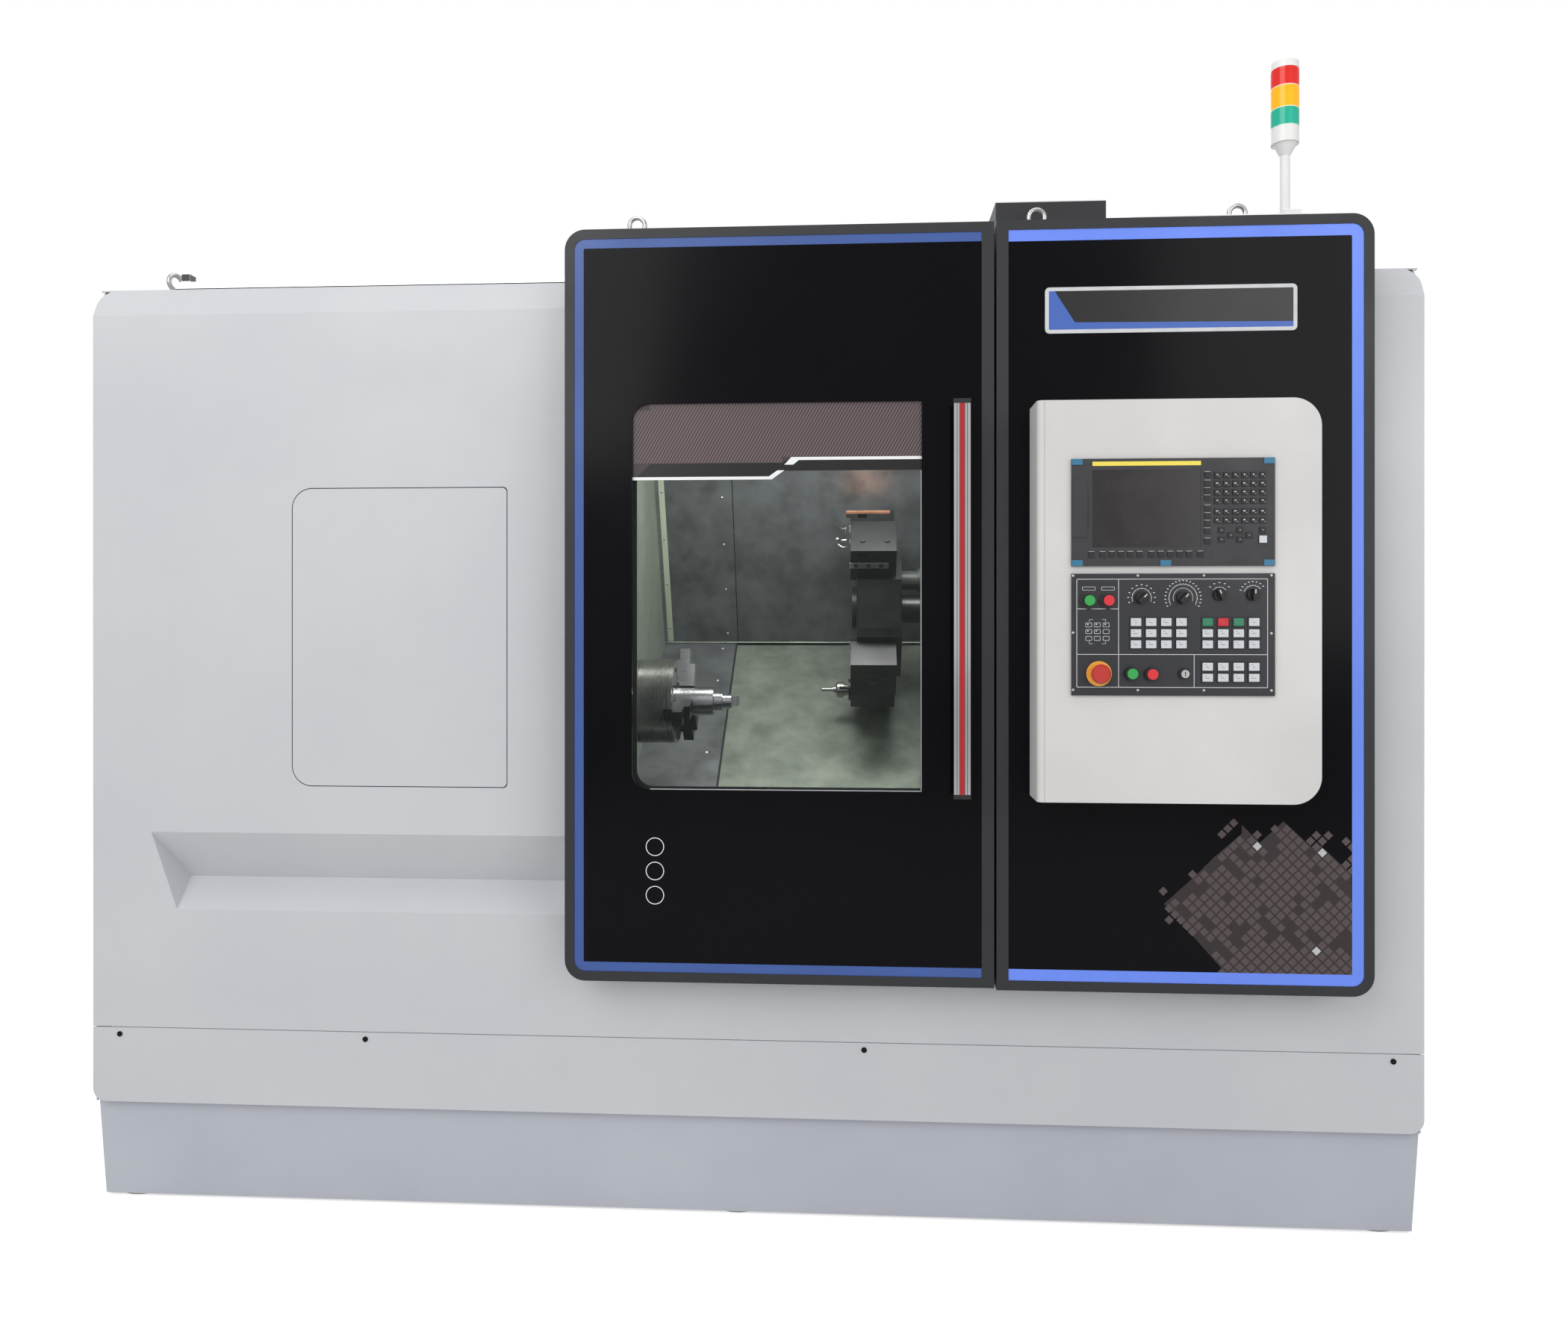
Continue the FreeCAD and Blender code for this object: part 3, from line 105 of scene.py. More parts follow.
@dataclass(frozen=True)
class Finish:
    """One finish: a base material and the process that made its surface.

    Args:
        name: material and process in plain words.
        colour: main sRGB colour.
        surface: how it was made.
        grain_mm: size of the fine relief.
        roughness: mean roughness.
        metallic: 1 for bare metal.
        second: colour that large soft patches drift to.
        patch_mm: size of those patches.
        relief_mm: depth of the fine relief.
        coat: strength of a clear coat.
        glow: light given off, for lit lamps.
        alpha: below 1 for a clear pane.
        transmission: above 0 for a translucent lens.
        specular: how strongly a non-metal mirrors its surroundings.
    """

    name: str
    colour: str
    surface: Surface
    grain_mm: float
    roughness: float
    metallic: float = 0.0
    second: str = ""
    patch_mm: float = 300.0
    relief_mm: float = 0.02
    coat: float = 0.0
    glow: float = 0.0
    alpha: float = 1.0
    transmission: float = 0.0
    specular: float = 0.5

    def stretch(self) -> Point:
        """How the fine relief is drawn out along each axis."""
        if self.surface is Surface.BRUSHED:
            return (0.02, 1.0, 1.0)
        if self.surface is Surface.TURNED:
            return (1.0, 0.03, 0.03)
        return (1.0, 1.0, 1.0)

    def material(self) -> bpy.types.Material:
        """Builds the node material, once for each name.

        Returns:
            The finished material.
        """
        found = bpy.data.materials.get(self.name)
        if found:
            return found
        made = bpy.data.materials.new(self.name)
        made.use_nodes = True
        tree = made.node_tree
        shader = tree.nodes["Principled BSDF"]
        shader.inputs["Metallic"].default_value = self.metallic
        shader.inputs["Coat Weight"].default_value = self.coat
        shader.inputs["Coat Roughness"].default_value = 0.08
        shader.inputs["Alpha"].default_value = self.alpha
        shader.inputs["Specular IOR Level"].default_value = self.specular
        shader.inputs["Transmission Weight"].default_value = self.transmission
        if self.glow:
            shader.inputs["Emission Color"].default_value = linear(self.colour)
            shader.inputs["Emission Strength"].default_value = self.glow
        self._relief(tree, shader)
        return made

    def _relief(self, tree: bpy.types.NodeTree, shader: bpy.types.Node) -> None:
        """Feeds the shader its colour drift, roughness drift and bump.

        Args:
            tree: the material's tree.
            shader: its main shader.
        """
        place = add_node(tree, "ShaderNodeTexCoord")
        patches = add_node(tree, "ShaderNodeTexNoise",
                           {"Scale": 1 / (self.patch_mm * MM), "Detail": 4.0, "Roughness": 0.6},
                           {"Vector": place.outputs["Object"]})
        drift = add_node(tree, "ShaderNodeMix", {"data_type": "RGBA"})
        colours = [socket for socket in drift.inputs if socket.type == "RGBA"]
        colours[0].default_value = linear(self.colour)
        colours[1].default_value = linear(self.second or self.colour)
        spread = add_node(tree, "ShaderNodeMapRange",
                          {"From Min": 0.35, "From Max": 0.65},
                          {"Value": patches.outputs["Fac"]})
        tree.links.new(spread.outputs["Result"], drift.inputs["Factor"])
        painted = [socket for socket in drift.outputs if socket.type == "RGBA"][0]
        tree.links.new(painted, shader.inputs["Base Color"])
        stretched = add_node(tree, "ShaderNodeMapping", {"Scale": self.stretch()},
                             {"Vector": place.outputs["Object"]})
        grain = add_node(tree, "ShaderNodeTexNoise",
                         {"Scale": 1 / (self.grain_mm * MM), "Detail": 3.0},
                         {"Vector": stretched.outputs["Vector"]})
        rough = add_node(tree, "ShaderNodeMapRange",
                         {"From Min": 0.3, "From Max": 0.7,
                          "To Min": max(self.roughness * 0.8, 0.02),
                          "To Max": min(self.roughness * 1.2 + 0.01, 1.0)},
                         {"Value": (grain if self.metallic else patches).outputs["Fac"]})
        tree.links.new(rough.outputs["Result"], shader.inputs["Roughness"])
        bump = add_node(tree, "ShaderNodeBump", {"Strength": 0.6, "Distance": self.relief_mm * MM},
                        {"Height": grain.outputs["Fac"]})
        tree.links.new(bump.outputs["Normal"], shader.inputs["Normal"])


# Powder-coated steel sheet: a soft satin skin with an orange peel of about 3 mm.
COVER_PAINT = Finish("powder_coated_steel_light_grey", "#C2C4C7", Surface.POWDER_COAT, 3.0, 0.42,
                     second="#BCBEC2", patch_mm=700, relief_mm=0.03)
PLINTH_PAINT = Finish("powder_coated_steel_blue_grey", "#B6B9C1", Surface.POWDER_COAT, 3.0, 0.5,
                      second="#AEB1BA", patch_mm=600, relief_mm=0.03)
# The same coating in charcoal, a little rougher, so that edges read without glare.
FRAME_PAINT = Finish("powder_coated_steel_charcoal", "#222327", Surface.POWDER_COAT, 1.6, 0.48,
                     second="#1E1F23", patch_mm=400, relief_mm=0.05)
CONSOLE_PAINT = Finish("powder_coated_steel_off_white", "#D0CECC", Surface.POWDER_COAT, 2.4, 0.45,
                       second="#C8C6C5", patch_mm=350, relief_mm=0.03)
# Back-painted acrylic sheet: deep black under a hard glossy face.
BLACK_ACRYLIC = Finish("back_painted_acrylic_black", "#08080B", Surface.POLISHED, 60.0, 0.16,
                       second="#0A0A0E", patch_mm=500, relief_mm=0.02,
                       specular=0.1)
# Calendered vinyl film: even colour, low sheen.
BLUE_FILM = Finish("vinyl_film_blue", "#38579B", Surface.PRINTED, 40.0, 0.38, second="#345192")
BADGE_BLUE = Finish("vinyl_film_badge_blue", "#3B60B0", Surface.PRINTED, 40.0, 0.38)
BRIGHT_BLUE_FILM = Finish("vinyl_film_bright_blue", "#6889EE", Surface.PRINTED, 40.0, 0.38,
                          second="#6283E6")
BROWN_FILM = Finish("vinyl_film_brown_grey", "#3A3134", Surface.PRINTED, 40.0, 0.45,
                    second="#362E31")
# The black film also paints shade: in the screw sockets and the lock's keyway.
BLACK_FILM_AND_SHADE = Finish("vinyl_film_black_and_painted_shade", "#0D0C0E", Surface.PRINTED, 40.0, 0.3)
# Screen-printed ink: a thin, flat, opaque layer with hardly any sheen.
# The pale ink also paints highlights: above the soft keys and along the window's edges.
PALE_INK_AND_HIGHLIGHT = Finish("screen_printed_ink_pale_and_painted_highlight", "#C9CACC", Surface.PRINTED, 30.0, 0.5,
                  second="#BFC1C3", patch_mm=40)
WHITE_INK = Finish("screen_printed_ink_white", "#E4E5E6", Surface.PRINTED, 30.0, 0.5)
LINE_INK = Finish("screen_printed_ink_line", "#6A5759", Surface.PRINTED, 30.0, 0.5)
# The grey ink also paints the shade along the console's fold.
GREY_INK_AND_SHADE = Finish("screen_printed_ink_grey_and_painted_shade", "#6E7073", Surface.PRINTED, 30.0, 0.5)
TILE_DARK = Finish("vinyl_film_tile_dark", "#261B1C", Surface.PRINTED, 30.0, 0.4)
TILE_MID = Finish("vinyl_film_tile_mid", "#4B3F41", Surface.PRINTED, 30.0, 0.4)
TILE_LIGHT = Finish("vinyl_film_tile_light", "#B7B6B7", Surface.PRINTED, 30.0, 0.4)
# Clear polycarbonate pane: almost invisible face on, with a faint grey tint.
PANE = Finish("polycarbonate_clear_sheet", "#3A423E", Surface.POLISHED, 90.0, 0.05, alpha=0.10,
              relief_mm=0.01)
# Extruded EPDM: dull black seal.
# The same black also paints shade: in the handle's grooves, under the louvre blades and in the
# rail's gap.
SEAL_AND_SHADE = Finish("epdm_rubber_extruded_and_painted_shade", "#141415", Surface.MOULDED, 0.8, 0.75, relief_mm=0.02)
# Rolled stainless sheet with a dried coolant film: grey clouds over a soft metal sheen.
WET_SHEET = Finish("stainless_sheet_coolant_stained", "#74767A", Surface.WIPED, 8.0, 0.42,
                   metallic=0.55, second="#585A5C", patch_mm=95, relief_mm=0.05)
FLOOR_SHEET = Finish("stainless_sheet_coolant_film", "#8A9086", Surface.WIPED, 8.0, 0.38,
                     metallic=0.45, second="#6E746B", patch_mm=80, relief_mm=0.05)
# Enamelled steel: smooth and faintly glossy under the lamp.
PALE_GREEN_PAINT = Finish("enamelled_steel_grey_green", "#858C82", Surface.POWDER_COAT, 3.0, 0.4,
                          second="#797F76", patch_mm=200, relief_mm=0.03)
FLANGE_PAINT = Finish("enamelled_steel_light_green", "#BFC8B4", Surface.POWDER_COAT, 3.0, 0.4,
                      second="#B4BEA9", patch_mm=120, relief_mm=0.03)
# Ground and turned tool steel: grey, with fine tool marks round the axis.
TURNED_STEEL = Finish("alloy_steel_turned", "#A3A29F", Surface.TURNED, 0.5, 0.26, metallic=1.0,
                      second="#8F8E8C", patch_mm=60, relief_mm=0.004)
GROUND_STEEL = Finish("alloy_steel_ground", "#B9BBBD", Surface.BRUSHED, 0.6, 0.3, metallic=1.0,
                      second="#A9ABAD", patch_mm=50, relief_mm=0.01)
# Blackened tool steel: nearly black, with dull grey highlights on its edges.
# The same dark steel also paints the shade in the chuck's grooves.
DARK_STEEL_AND_SHADE = Finish("tool_steel_blackened_and_painted_shade", "#39383A", Surface.CAST, 1.2, 0.36, metallic=0.85,
                    second="#2B2A2C", patch_mm=80, relief_mm=0.02)
# Turned aluminium: paler and softer than the steel beside it.
BRIGHT_ALUMINIUM = Finish("aluminium_turned", "#9A9B9D", Surface.TURNED, 0.5, 0.3, metallic=1.0,
                          second="#8E8F92", patch_mm=40, relief_mm=0.006)
# Milled bronze strip: warm metal with straight tool marks.
COPPER_PLATE = Finish("bronze_strip_milled", "#B98468", Surface.BRUSHED, 0.8, 0.34, metallic=1.0,
                      second="#A5735A", patch_mm=30, relief_mm=0.01)
# Zinc plating: bright, with a slight milky bloom.
ZINC = Finish("steel_zinc_plated", "#C3C4C2", Surface.CAST, 1.0, 0.3, metallic=1.0,
              second="#B2B3B0", patch_mm=40, relief_mm=0.01)
# Painted cast iron: a coarse sand grain under dull paint.
CASTING = Finish("cast_iron_grey_painted", "#3E4240", Surface.CAST, 3.0, 0.55,
                 second="#353836", patch_mm=200, relief_mm=0.15)
# Bright chromium over polished brass: mirror with faint wipe marks.
CHROME = Finish("chromium_plated_polished", "#DADBDD", Surface.POLISHED, 120.0, 0.09,
                metallic=1.0, second="#D2D3D5", patch_mm=200, relief_mm=0.01)
# Moulded plastics: a fine even grain and a soft highlight.
RED_STRIP = Finish("pvc_moulded_red", "#B3121C", Surface.MOULDED, 1.0, 0.3, second="#A60F18")
BLACK_ABS = Finish("abs_moulded_black", "#161618", Surface.MOULDED, 0.7, 0.42, relief_mm=0.015)
GREY_ABS = Finish("abs_moulded_dark_grey", "#302F33", Surface.MOULDED, 0.8, 0.46,
                  second="#2C2B2F", patch_mm=90, relief_mm=0.02)
PANEL_FILM = Finish("polyester_overlay_charcoal", "#26272C", Surface.PRINTED, 1.0, 0.4,
                    second="#222328", patch_mm=120, relief_mm=0.008)
TEAL_ABS = Finish("abs_moulded_teal", "#2F6F90", Surface.MOULDED, 0.7, 0.4)
YELLOW_FILM = Finish("polyester_overlay_yellow", "#E9D54F", Surface.PRINTED, 20.0, 0.35)
# Anti-glare glass: dark, with a broad dim reflection.
SCREEN_GLASS = Finish("glass_anti_glare_screen", "#1D191A", Surface.POLISHED, 0.5, 0.22,
                      second="#241F1F", patch_mm=60, relief_mm=0.003)
# Key caps: pressed plastic and silicone, smoother than the housing round them.
KEY_WHITE = Finish("pmma_moulded_key_white", "#C4C8CC", Surface.MOULDED, 0.8, 0.3)
KEY_BLACK = Finish("silicone_moulded_key_black", "#1B1B1D", Surface.MOULDED, 0.6, 0.5)
KEY_GREEN = Finish("pmma_moulded_key_green", "#1F7A55", Surface.MOULDED, 0.8, 0.28)
KEY_RED = Finish("pmma_moulded_key_red", "#C4162A", Surface.MOULDED, 0.8, 0.28)
BUTTON_GREEN = Finish("polycarbonate_moulded_green", "#2F9E4A", Surface.MOULDED, 1.0, 0.3)
STOP_RED = Finish("polycarbonate_moulded_dark_red", "#B8322A", Surface.MOULDED, 1.0, 0.3)
BUTTON_RED = Finish("polycarbonate_moulded_red", "#D32A33", Surface.MOULDED, 1.0, 0.3)
STOP_ORANGE = Finish("polycarbonate_moulded_orange", "#E9A23B", Surface.MOULDED, 1.0, 0.32)
# Ribbed tower lenses: tinted clear plastic, each given a faint painted glow that keeps its colour
# bright.
LENS_RED = Finish("san_moulded_lens_red", "#D8241A", Surface.MOULDED, 1.0, 0.18, glow=0.25,
                  transmission=0.25)
LENS_AMBER = Finish("san_moulded_lens_amber", "#F5B400", Surface.MOULDED, 1.0, 0.18, glow=0.3,
                    transmission=0.25)
LENS_GREEN = Finish("san_moulded_lens_green", "#19B59A", Surface.MOULDED, 1.0, 0.18, glow=0.2,
                    transmission=0.25)
LAMP_GLASS = Finish("glass_frosted_lamp", "#F3F7F0", Surface.POLISHED, 2.0, 0.3, glow=2.5)
# The white plastic also paints the highlight on the top box's edge.
WHITE_ABS_AND_HIGHLIGHT = Finish("abs_moulded_white_and_painted_highlight", "#E8E8E6", Surface.MOULDED, 0.8, 0.35)
FLOOR_PLAIN = Finish("studio_floor_matt", "#D9D9D9", Surface.PRINTED, 50.0, 0.8)


# --------------------------------------------------------------------------------- mesh making
class Shaper:
    """Gathers closed forms into the mesh of one piece."""

    def __init__(self) -> None:
        """Starts an empty mesh."""
        self.mesh = bmesh.new()

    def block(self, low: Point, high: Point, turn: Matrix | None = None) -> "Shaper":
        """Adds a block between two corners.

        Args:
            low: lowest corner.
            high: highest corner.
            turn: a transform for the finished block.

        Returns:
            The shaper itself.
        """
        outline = [(low[0], low[2]), (high[0], low[2]), (high[0], high[2]), (low[0], high[2])]
        return self.slab(outline, low[1], high[1], turn)

    def slab(self, outline: list[Pair], near: float, far: float,
             turn: Matrix | None = None) -> "Shaper":
        """Adds an upright plate from its outline, seen from the front.

        Args:
            outline: x and z of each corner, in order.
            near: y of the face towards the operator.
            far: y of the other face.
            turn: a transform for the finished plate.

        Returns:
            The shaper itself.
        """
        front = [self.mesh.verts.new((x, near, z)) for x, z in outline]
        back = [self.mesh.verts.new((x, far, z)) for x, z in outline]
        count = len(outline)
        made = [self.mesh.faces.new(front), self.mesh.faces.new(back[::-1])]
        for i in range(count):
            j = (i + 1) % count
            made.append(self.mesh.faces.new((front[i], back[i], back[j], front[j])))
        bmesh.ops.recalc_face_normals(self.mesh, faces=made)
        if turn is not None:
            bmesh.ops.transform(self.mesh, matrix=turn, verts=front + back)
        return self

    def rod(self, centre: Point, axis: Point, radius: float, length: float,
            end_radius: float | None = None, sides: int = 32) -> "Shaper":
        """Adds a round bar or a cone.

        Args:
            centre: middle of its first end.
            axis: direction it runs in.
            radius: radius at the first end.
            length: how long it is.
            end_radius: radius at the other end, if it tapers.
            sides: facets round it.

        Returns:
            The shaper itself.
        """
        direction = Vector(axis).normalized()
        place = Vector(centre) + direction * (length / 2)
        turn = Matrix.Translation(place) @ direction.to_track_quat("Z", "Y").to_matrix().to_4x4()
        bmesh.ops.create_cone(self.mesh, cap_ends=True, segments=sides, radius1=radius,
                              radius2=radius if end_radius is None else end_radius,
                              depth=length, matrix=turn)
        return self

    def collar(self, centre: Point, axis: Point, outer: float, inner: float, length: float,
               sides: int = 40) -> "Shaper":
        """Adds a ring with a square section.

        Args:
            centre: middle of its first face.
            axis: direction it runs in.
            outer: outer radius.
            inner: inner radius.
            length: how deep it is.
            sides: facets round it.

        Returns:
            The shaper itself.
        """
        turn = (Matrix.Translation(centre)
                @ Vector(axis).normalized().to_track_quat("Z", "Y").to_matrix().to_4x4())
        loops = []
        for radius, height in ((outer, 0), (outer, length), (inner, length), (inner, 0)):
            ring = []
            for step in range(sides):
                angle = 2 * math.pi * step / sides
                spot = Vector((radius * math.cos(angle), radius * math.sin(angle), height))
                ring.append(self.mesh.verts.new(turn @ spot))
            loops.append(ring)
        made = []
        for k in range(4):
            here, there = loops[k], loops[(k + 1) % 4]
            for i in range(sides):
                j = (i + 1) % sides
                made.append(self.mesh.faces.new((here[i], here[j], there[j], there[i])))
        bmesh.ops.recalc_face_normals(self.mesh, faces=made)
        return self

    def arc(self, centre: Pair, radius: float, width: float, start: float, end: float,
            near: float, far: float, steps: int = 24) -> "Shaper":
        """Adds a printed arc, seen from the front.

        Args:
            centre: x and z of its middle.
            radius: mean radius.
            width: line width.
            start: first angle in degrees, clockwise from straight up.
            end: last angle.
            near: y of its face.
            far: y of its back.
            steps: straight pieces in it.

        Returns:
            The shaper itself.
        """
        turns = [math.radians(start + (end - start) * k / steps) for k in range(steps + 1)]
        for before, after in zip(turns, turns[1:]):
            corners = []
            for angle, reach in ((before, 0.5), (after, 0.5), (after, -0.5), (before, -0.5)):
                size = radius + reach * width
                corners.append((centre[0] + size * math.sin(angle),
                                centre[1] + size * math.cos(angle)))
            self.slab(corners, near, far)
        return self

    def tube(self, points: list[Point], radius: float, sides: int = 12) -> "Shaper":
        """Adds a bent pipe with closed ends.

        Args:
            points: middle of the pipe, in order.
            radius: its radius.
            sides: facets round it.

        Returns:
            The shaper itself.
        """
        rings = []
        spots = [Vector(p) for p in points]
        for i, spot in enumerate(spots):
            ahead = spots[min(i + 1, len(spots) - 1)] - spots[max(i - 1, 0)]
            turn = ahead.to_track_quat("Z", "Y").to_matrix()
            ring = []
            for step in range(sides):
                angle = 2 * math.pi * step / sides
                offset = Vector((math.cos(angle), math.sin(angle), 0)) * radius
                ring.append(self.mesh.verts.new(spot + turn @ offset))
            rings.append(ring)
        made = [self.mesh.faces.new(rings[0][::-1]), self.mesh.faces.new(rings[-1])]
        for here, there in zip(rings, rings[1:]):
            for i in range(sides):
                j = (i + 1) % sides
                made.append(self.mesh.faces.new((here[i], here[j], there[j], there[i])))
        bmesh.ops.recalc_face_normals(self.mesh, faces=made)
        return self

    def dome(self, centre: Point, axis: Point, radius: float, rise: float) -> "Shaper":
        """Adds a flattened half ball with a flat base.

        Args:
            centre: middle of its base.
            axis: direction it bulges in.
            radius: radius of the base.
            rise: height of the crown.

        Returns:
            The shaper itself.
        """
        turn = (Matrix.Translation(centre)
                @ Vector(axis).normalized().to_track_quat("Z", "Y").to_matrix().to_4x4())
        sides, levels = 28, 7
        rings = []
        for level in range(levels):
            lift = math.pi / 2 * level / levels
            rings.append([self.mesh.verts.new(turn @ Vector((
                radius * math.cos(lift) * math.cos(2 * math.pi * k / sides),
                radius * math.cos(lift) * math.sin(2 * math.pi * k / sides),
                rise * math.sin(lift)))) for k in range(sides)])
        crown = self.mesh.verts.new(turn @ Vector((0, 0, rise)))
        made = [self.mesh.faces.new(rings[0][::-1])]
        for here, there in zip(rings, rings[1:]):
            for i in range(sides):
                j = (i + 1) % sides
                made.append(self.mesh.faces.new((here[i], here[j], there[j], there[i])))
        for i in range(sides):
            made.append(self.mesh.faces.new((rings[-1][i], rings[-1][(i + 1) % sides], crown)))
        bmesh.ops.recalc_face_normals(self.mesh, faces=made)
        return self

    def finish(self, name: str, finish: Finish, body: str, slot: str,
               bevel: float = 0.0) -> bpy.types.Object:
        """Closes the mesh and makes the piece.

        Args:
            name: the piece's name.
            finish: what it is made of.
            body: the frame body it rides on.
            slot: the record's material slot; not used.
            bevel: width of the edge rounding.

        Returns:
            The finished object.
        """
        data = bpy.data.meshes.new(name)
        for edge in self.mesh.edges:
            if len(edge.link_faces) == 2:
                edge.smooth = edge.calc_face_angle(0.0) < math.radians(35)
        for face in self.mesh.faces:
            face.smooth = True
        self.mesh.to_mesh(data)
        self.mesh.free()
        data.materials.append(finish.material())
        made = bpy.data.objects.new(name, data)
        bpy.context.scene.collection.objects.link(made)
        if bevel:
            rounding = made.modifiers.new("rounding", "BEVEL")
            rounding.width = bevel
            rounding.segments = 2
            rounding.limit_method = "ANGLE"
            rounding.harden_normals = True
        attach(made, body)
        LOG.info("made %s, %d faces", name, len(data.polygons))
        return made


@dataclass(frozen=True)
class Region:
    """A node's box, with its corners as named lengths."""

    left: float
    right: float
    near: float
    far: float
    low: float
    high: float

    @staticmethod
    def of(node: str) -> "Region":
        """The region that a frame node fills at rest."""
        low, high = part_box(node)
        return Region(low[0], high[0], low[1], high[1], low[2], high[2])

    @property
    def mid_x(self) -> float:
        """Middle along X."""
        return (self.left + self.right) / 2

    @property
    def mid_y(self) -> float:
        """Middle along Y."""
        return (self.near + self.far) / 2

    @property
    def mid_z(self) -> float:
        """Middle height."""
        return (self.low + self.high) / 2


def dress(finish: Finish, *nodes: str) -> None:
    """Gives frame nodes a finish.

    Args:
        finish: what they are made of.
        nodes: names of the nodes.
    """
    for name in nodes:
        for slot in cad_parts[name].material_slots:
            slot.material = finish.material()
        LOG.info("dressed %s in %s", name, finish.name)


def rounded(left: float, right: float, low: float, high: float,
            radii: tuple[float, float, float, float], steps: int = 8) -> list[Pair]:
    """Outline of a panel with round corners, seen from the front.

    Args:
        left: left edge.
        right: right edge.
        low: lower edge.
        high: upper edge.
        radii: corner radii: lower left, lower right, upper right, upper left.
        steps: straight pieces in each corner.

    Returns:
        Its corner points, in order.
    """
    points: list[Pair] = []
    spots = ((left, low, 1, 1, 180), (right, low, -1, 1, 270),
             (right, high, -1, -1, 0), (left, high, 1, -1, 90))
    for (x, z, to_x, to_z, start), radius in zip(spots, radii):
        if radius <= 0:
            points.append((x, z))
            continue
        for step in range(steps + 1):
            angle = math.radians(start + 90 * step / steps)
            points.append((x + to_x * radius + radius * math.cos(angle),
                           z + to_z * radius + radius * math.sin(angle)))
    return points


def band(outer: list[Pair], inner: list[Pair], near: float, far: float,
         shaper: Shaper) -> None:
    """Adds a closed frame between two outlines with as many points.

    Args:
        outer: the outer outline.
        inner: the inner outline.
        near: y of the front face.
        far: y of the back face.
        shaper: mesh that takes the frame.
    """
    loops = [[shaper.mesh.verts.new((x, y, z)) for x, z in outline]
             for outline, y in ((outer, near), (inner, near), (inner, far), (outer, far))]
    made = []
    for k in range(4):
        here, there = loops[k], loops[(k + 1) % 4]
        for i in range(len(outer)):
            j = (i + 1) % len(outer)
            made.append(shaper.mesh.faces.new((here[i], here[j], there[j], there[i])))
    bmesh.ops.recalc_face_normals(shaper.mesh, faces=made)


def clip(polygon: list[Pair], left: float, right: float, low: float, high: float) -> list[Pair]:
    """Cuts a convex outline to a rectangle.

    Args:
        polygon: corner points, in order.
        left: least x kept.
        right: greatest x kept.
        low: least z kept.
        high: greatest z kept.

    Returns:
        What is left of the outline, which may be empty.
    """
    for axis, limit, sign in ((0, left, 1), (0, right, -1), (1, low, 1), (1, high, -1)):
        kept: list[Pair] = []
        for i, here in enumerate(polygon):
            before = polygon[i - 1]
            inside_here = sign * (here[axis] - limit) >= 0
            inside_before = sign * (before[axis] - limit) >= 0
            if inside_here != inside_before:
                part = (limit - before[axis]) / (here[axis] - before[axis])
                kept.append((before[0] + part * (here[0] - before[0]),
                             before[1] + part * (here[1] - before[1])))
            if inside_here:
                kept.append(here)
        polygon = kept
        if not polygon:
            break
    return polygon


def stroke(start: Pair, end: Pair, width: float) -> list[Pair]:
    """Outline of a straight printed line.

    Args:
        start: its first end.
        end: its other end.
        width: how wide it is.

    Returns:
        Its four corners.
    """
    along = Vector((end[0] - start[0], end[1] - start[1])).normalized()
    side = Vector((-along[1], along[0])) * (width / 2)
    return [(start[0] + side[0], start[1] + side[1]), (start[0] - side[0], start[1] - side[1]),
            (end[0] - side[0], end[1] - side[1]), (end[0] + side[0], end[1] + side[1])]


# -------------------------------------------------------------------------------- sub-assemblies
FILM = 0.15 * MM        # how far a printed or stuck film stands off its panel


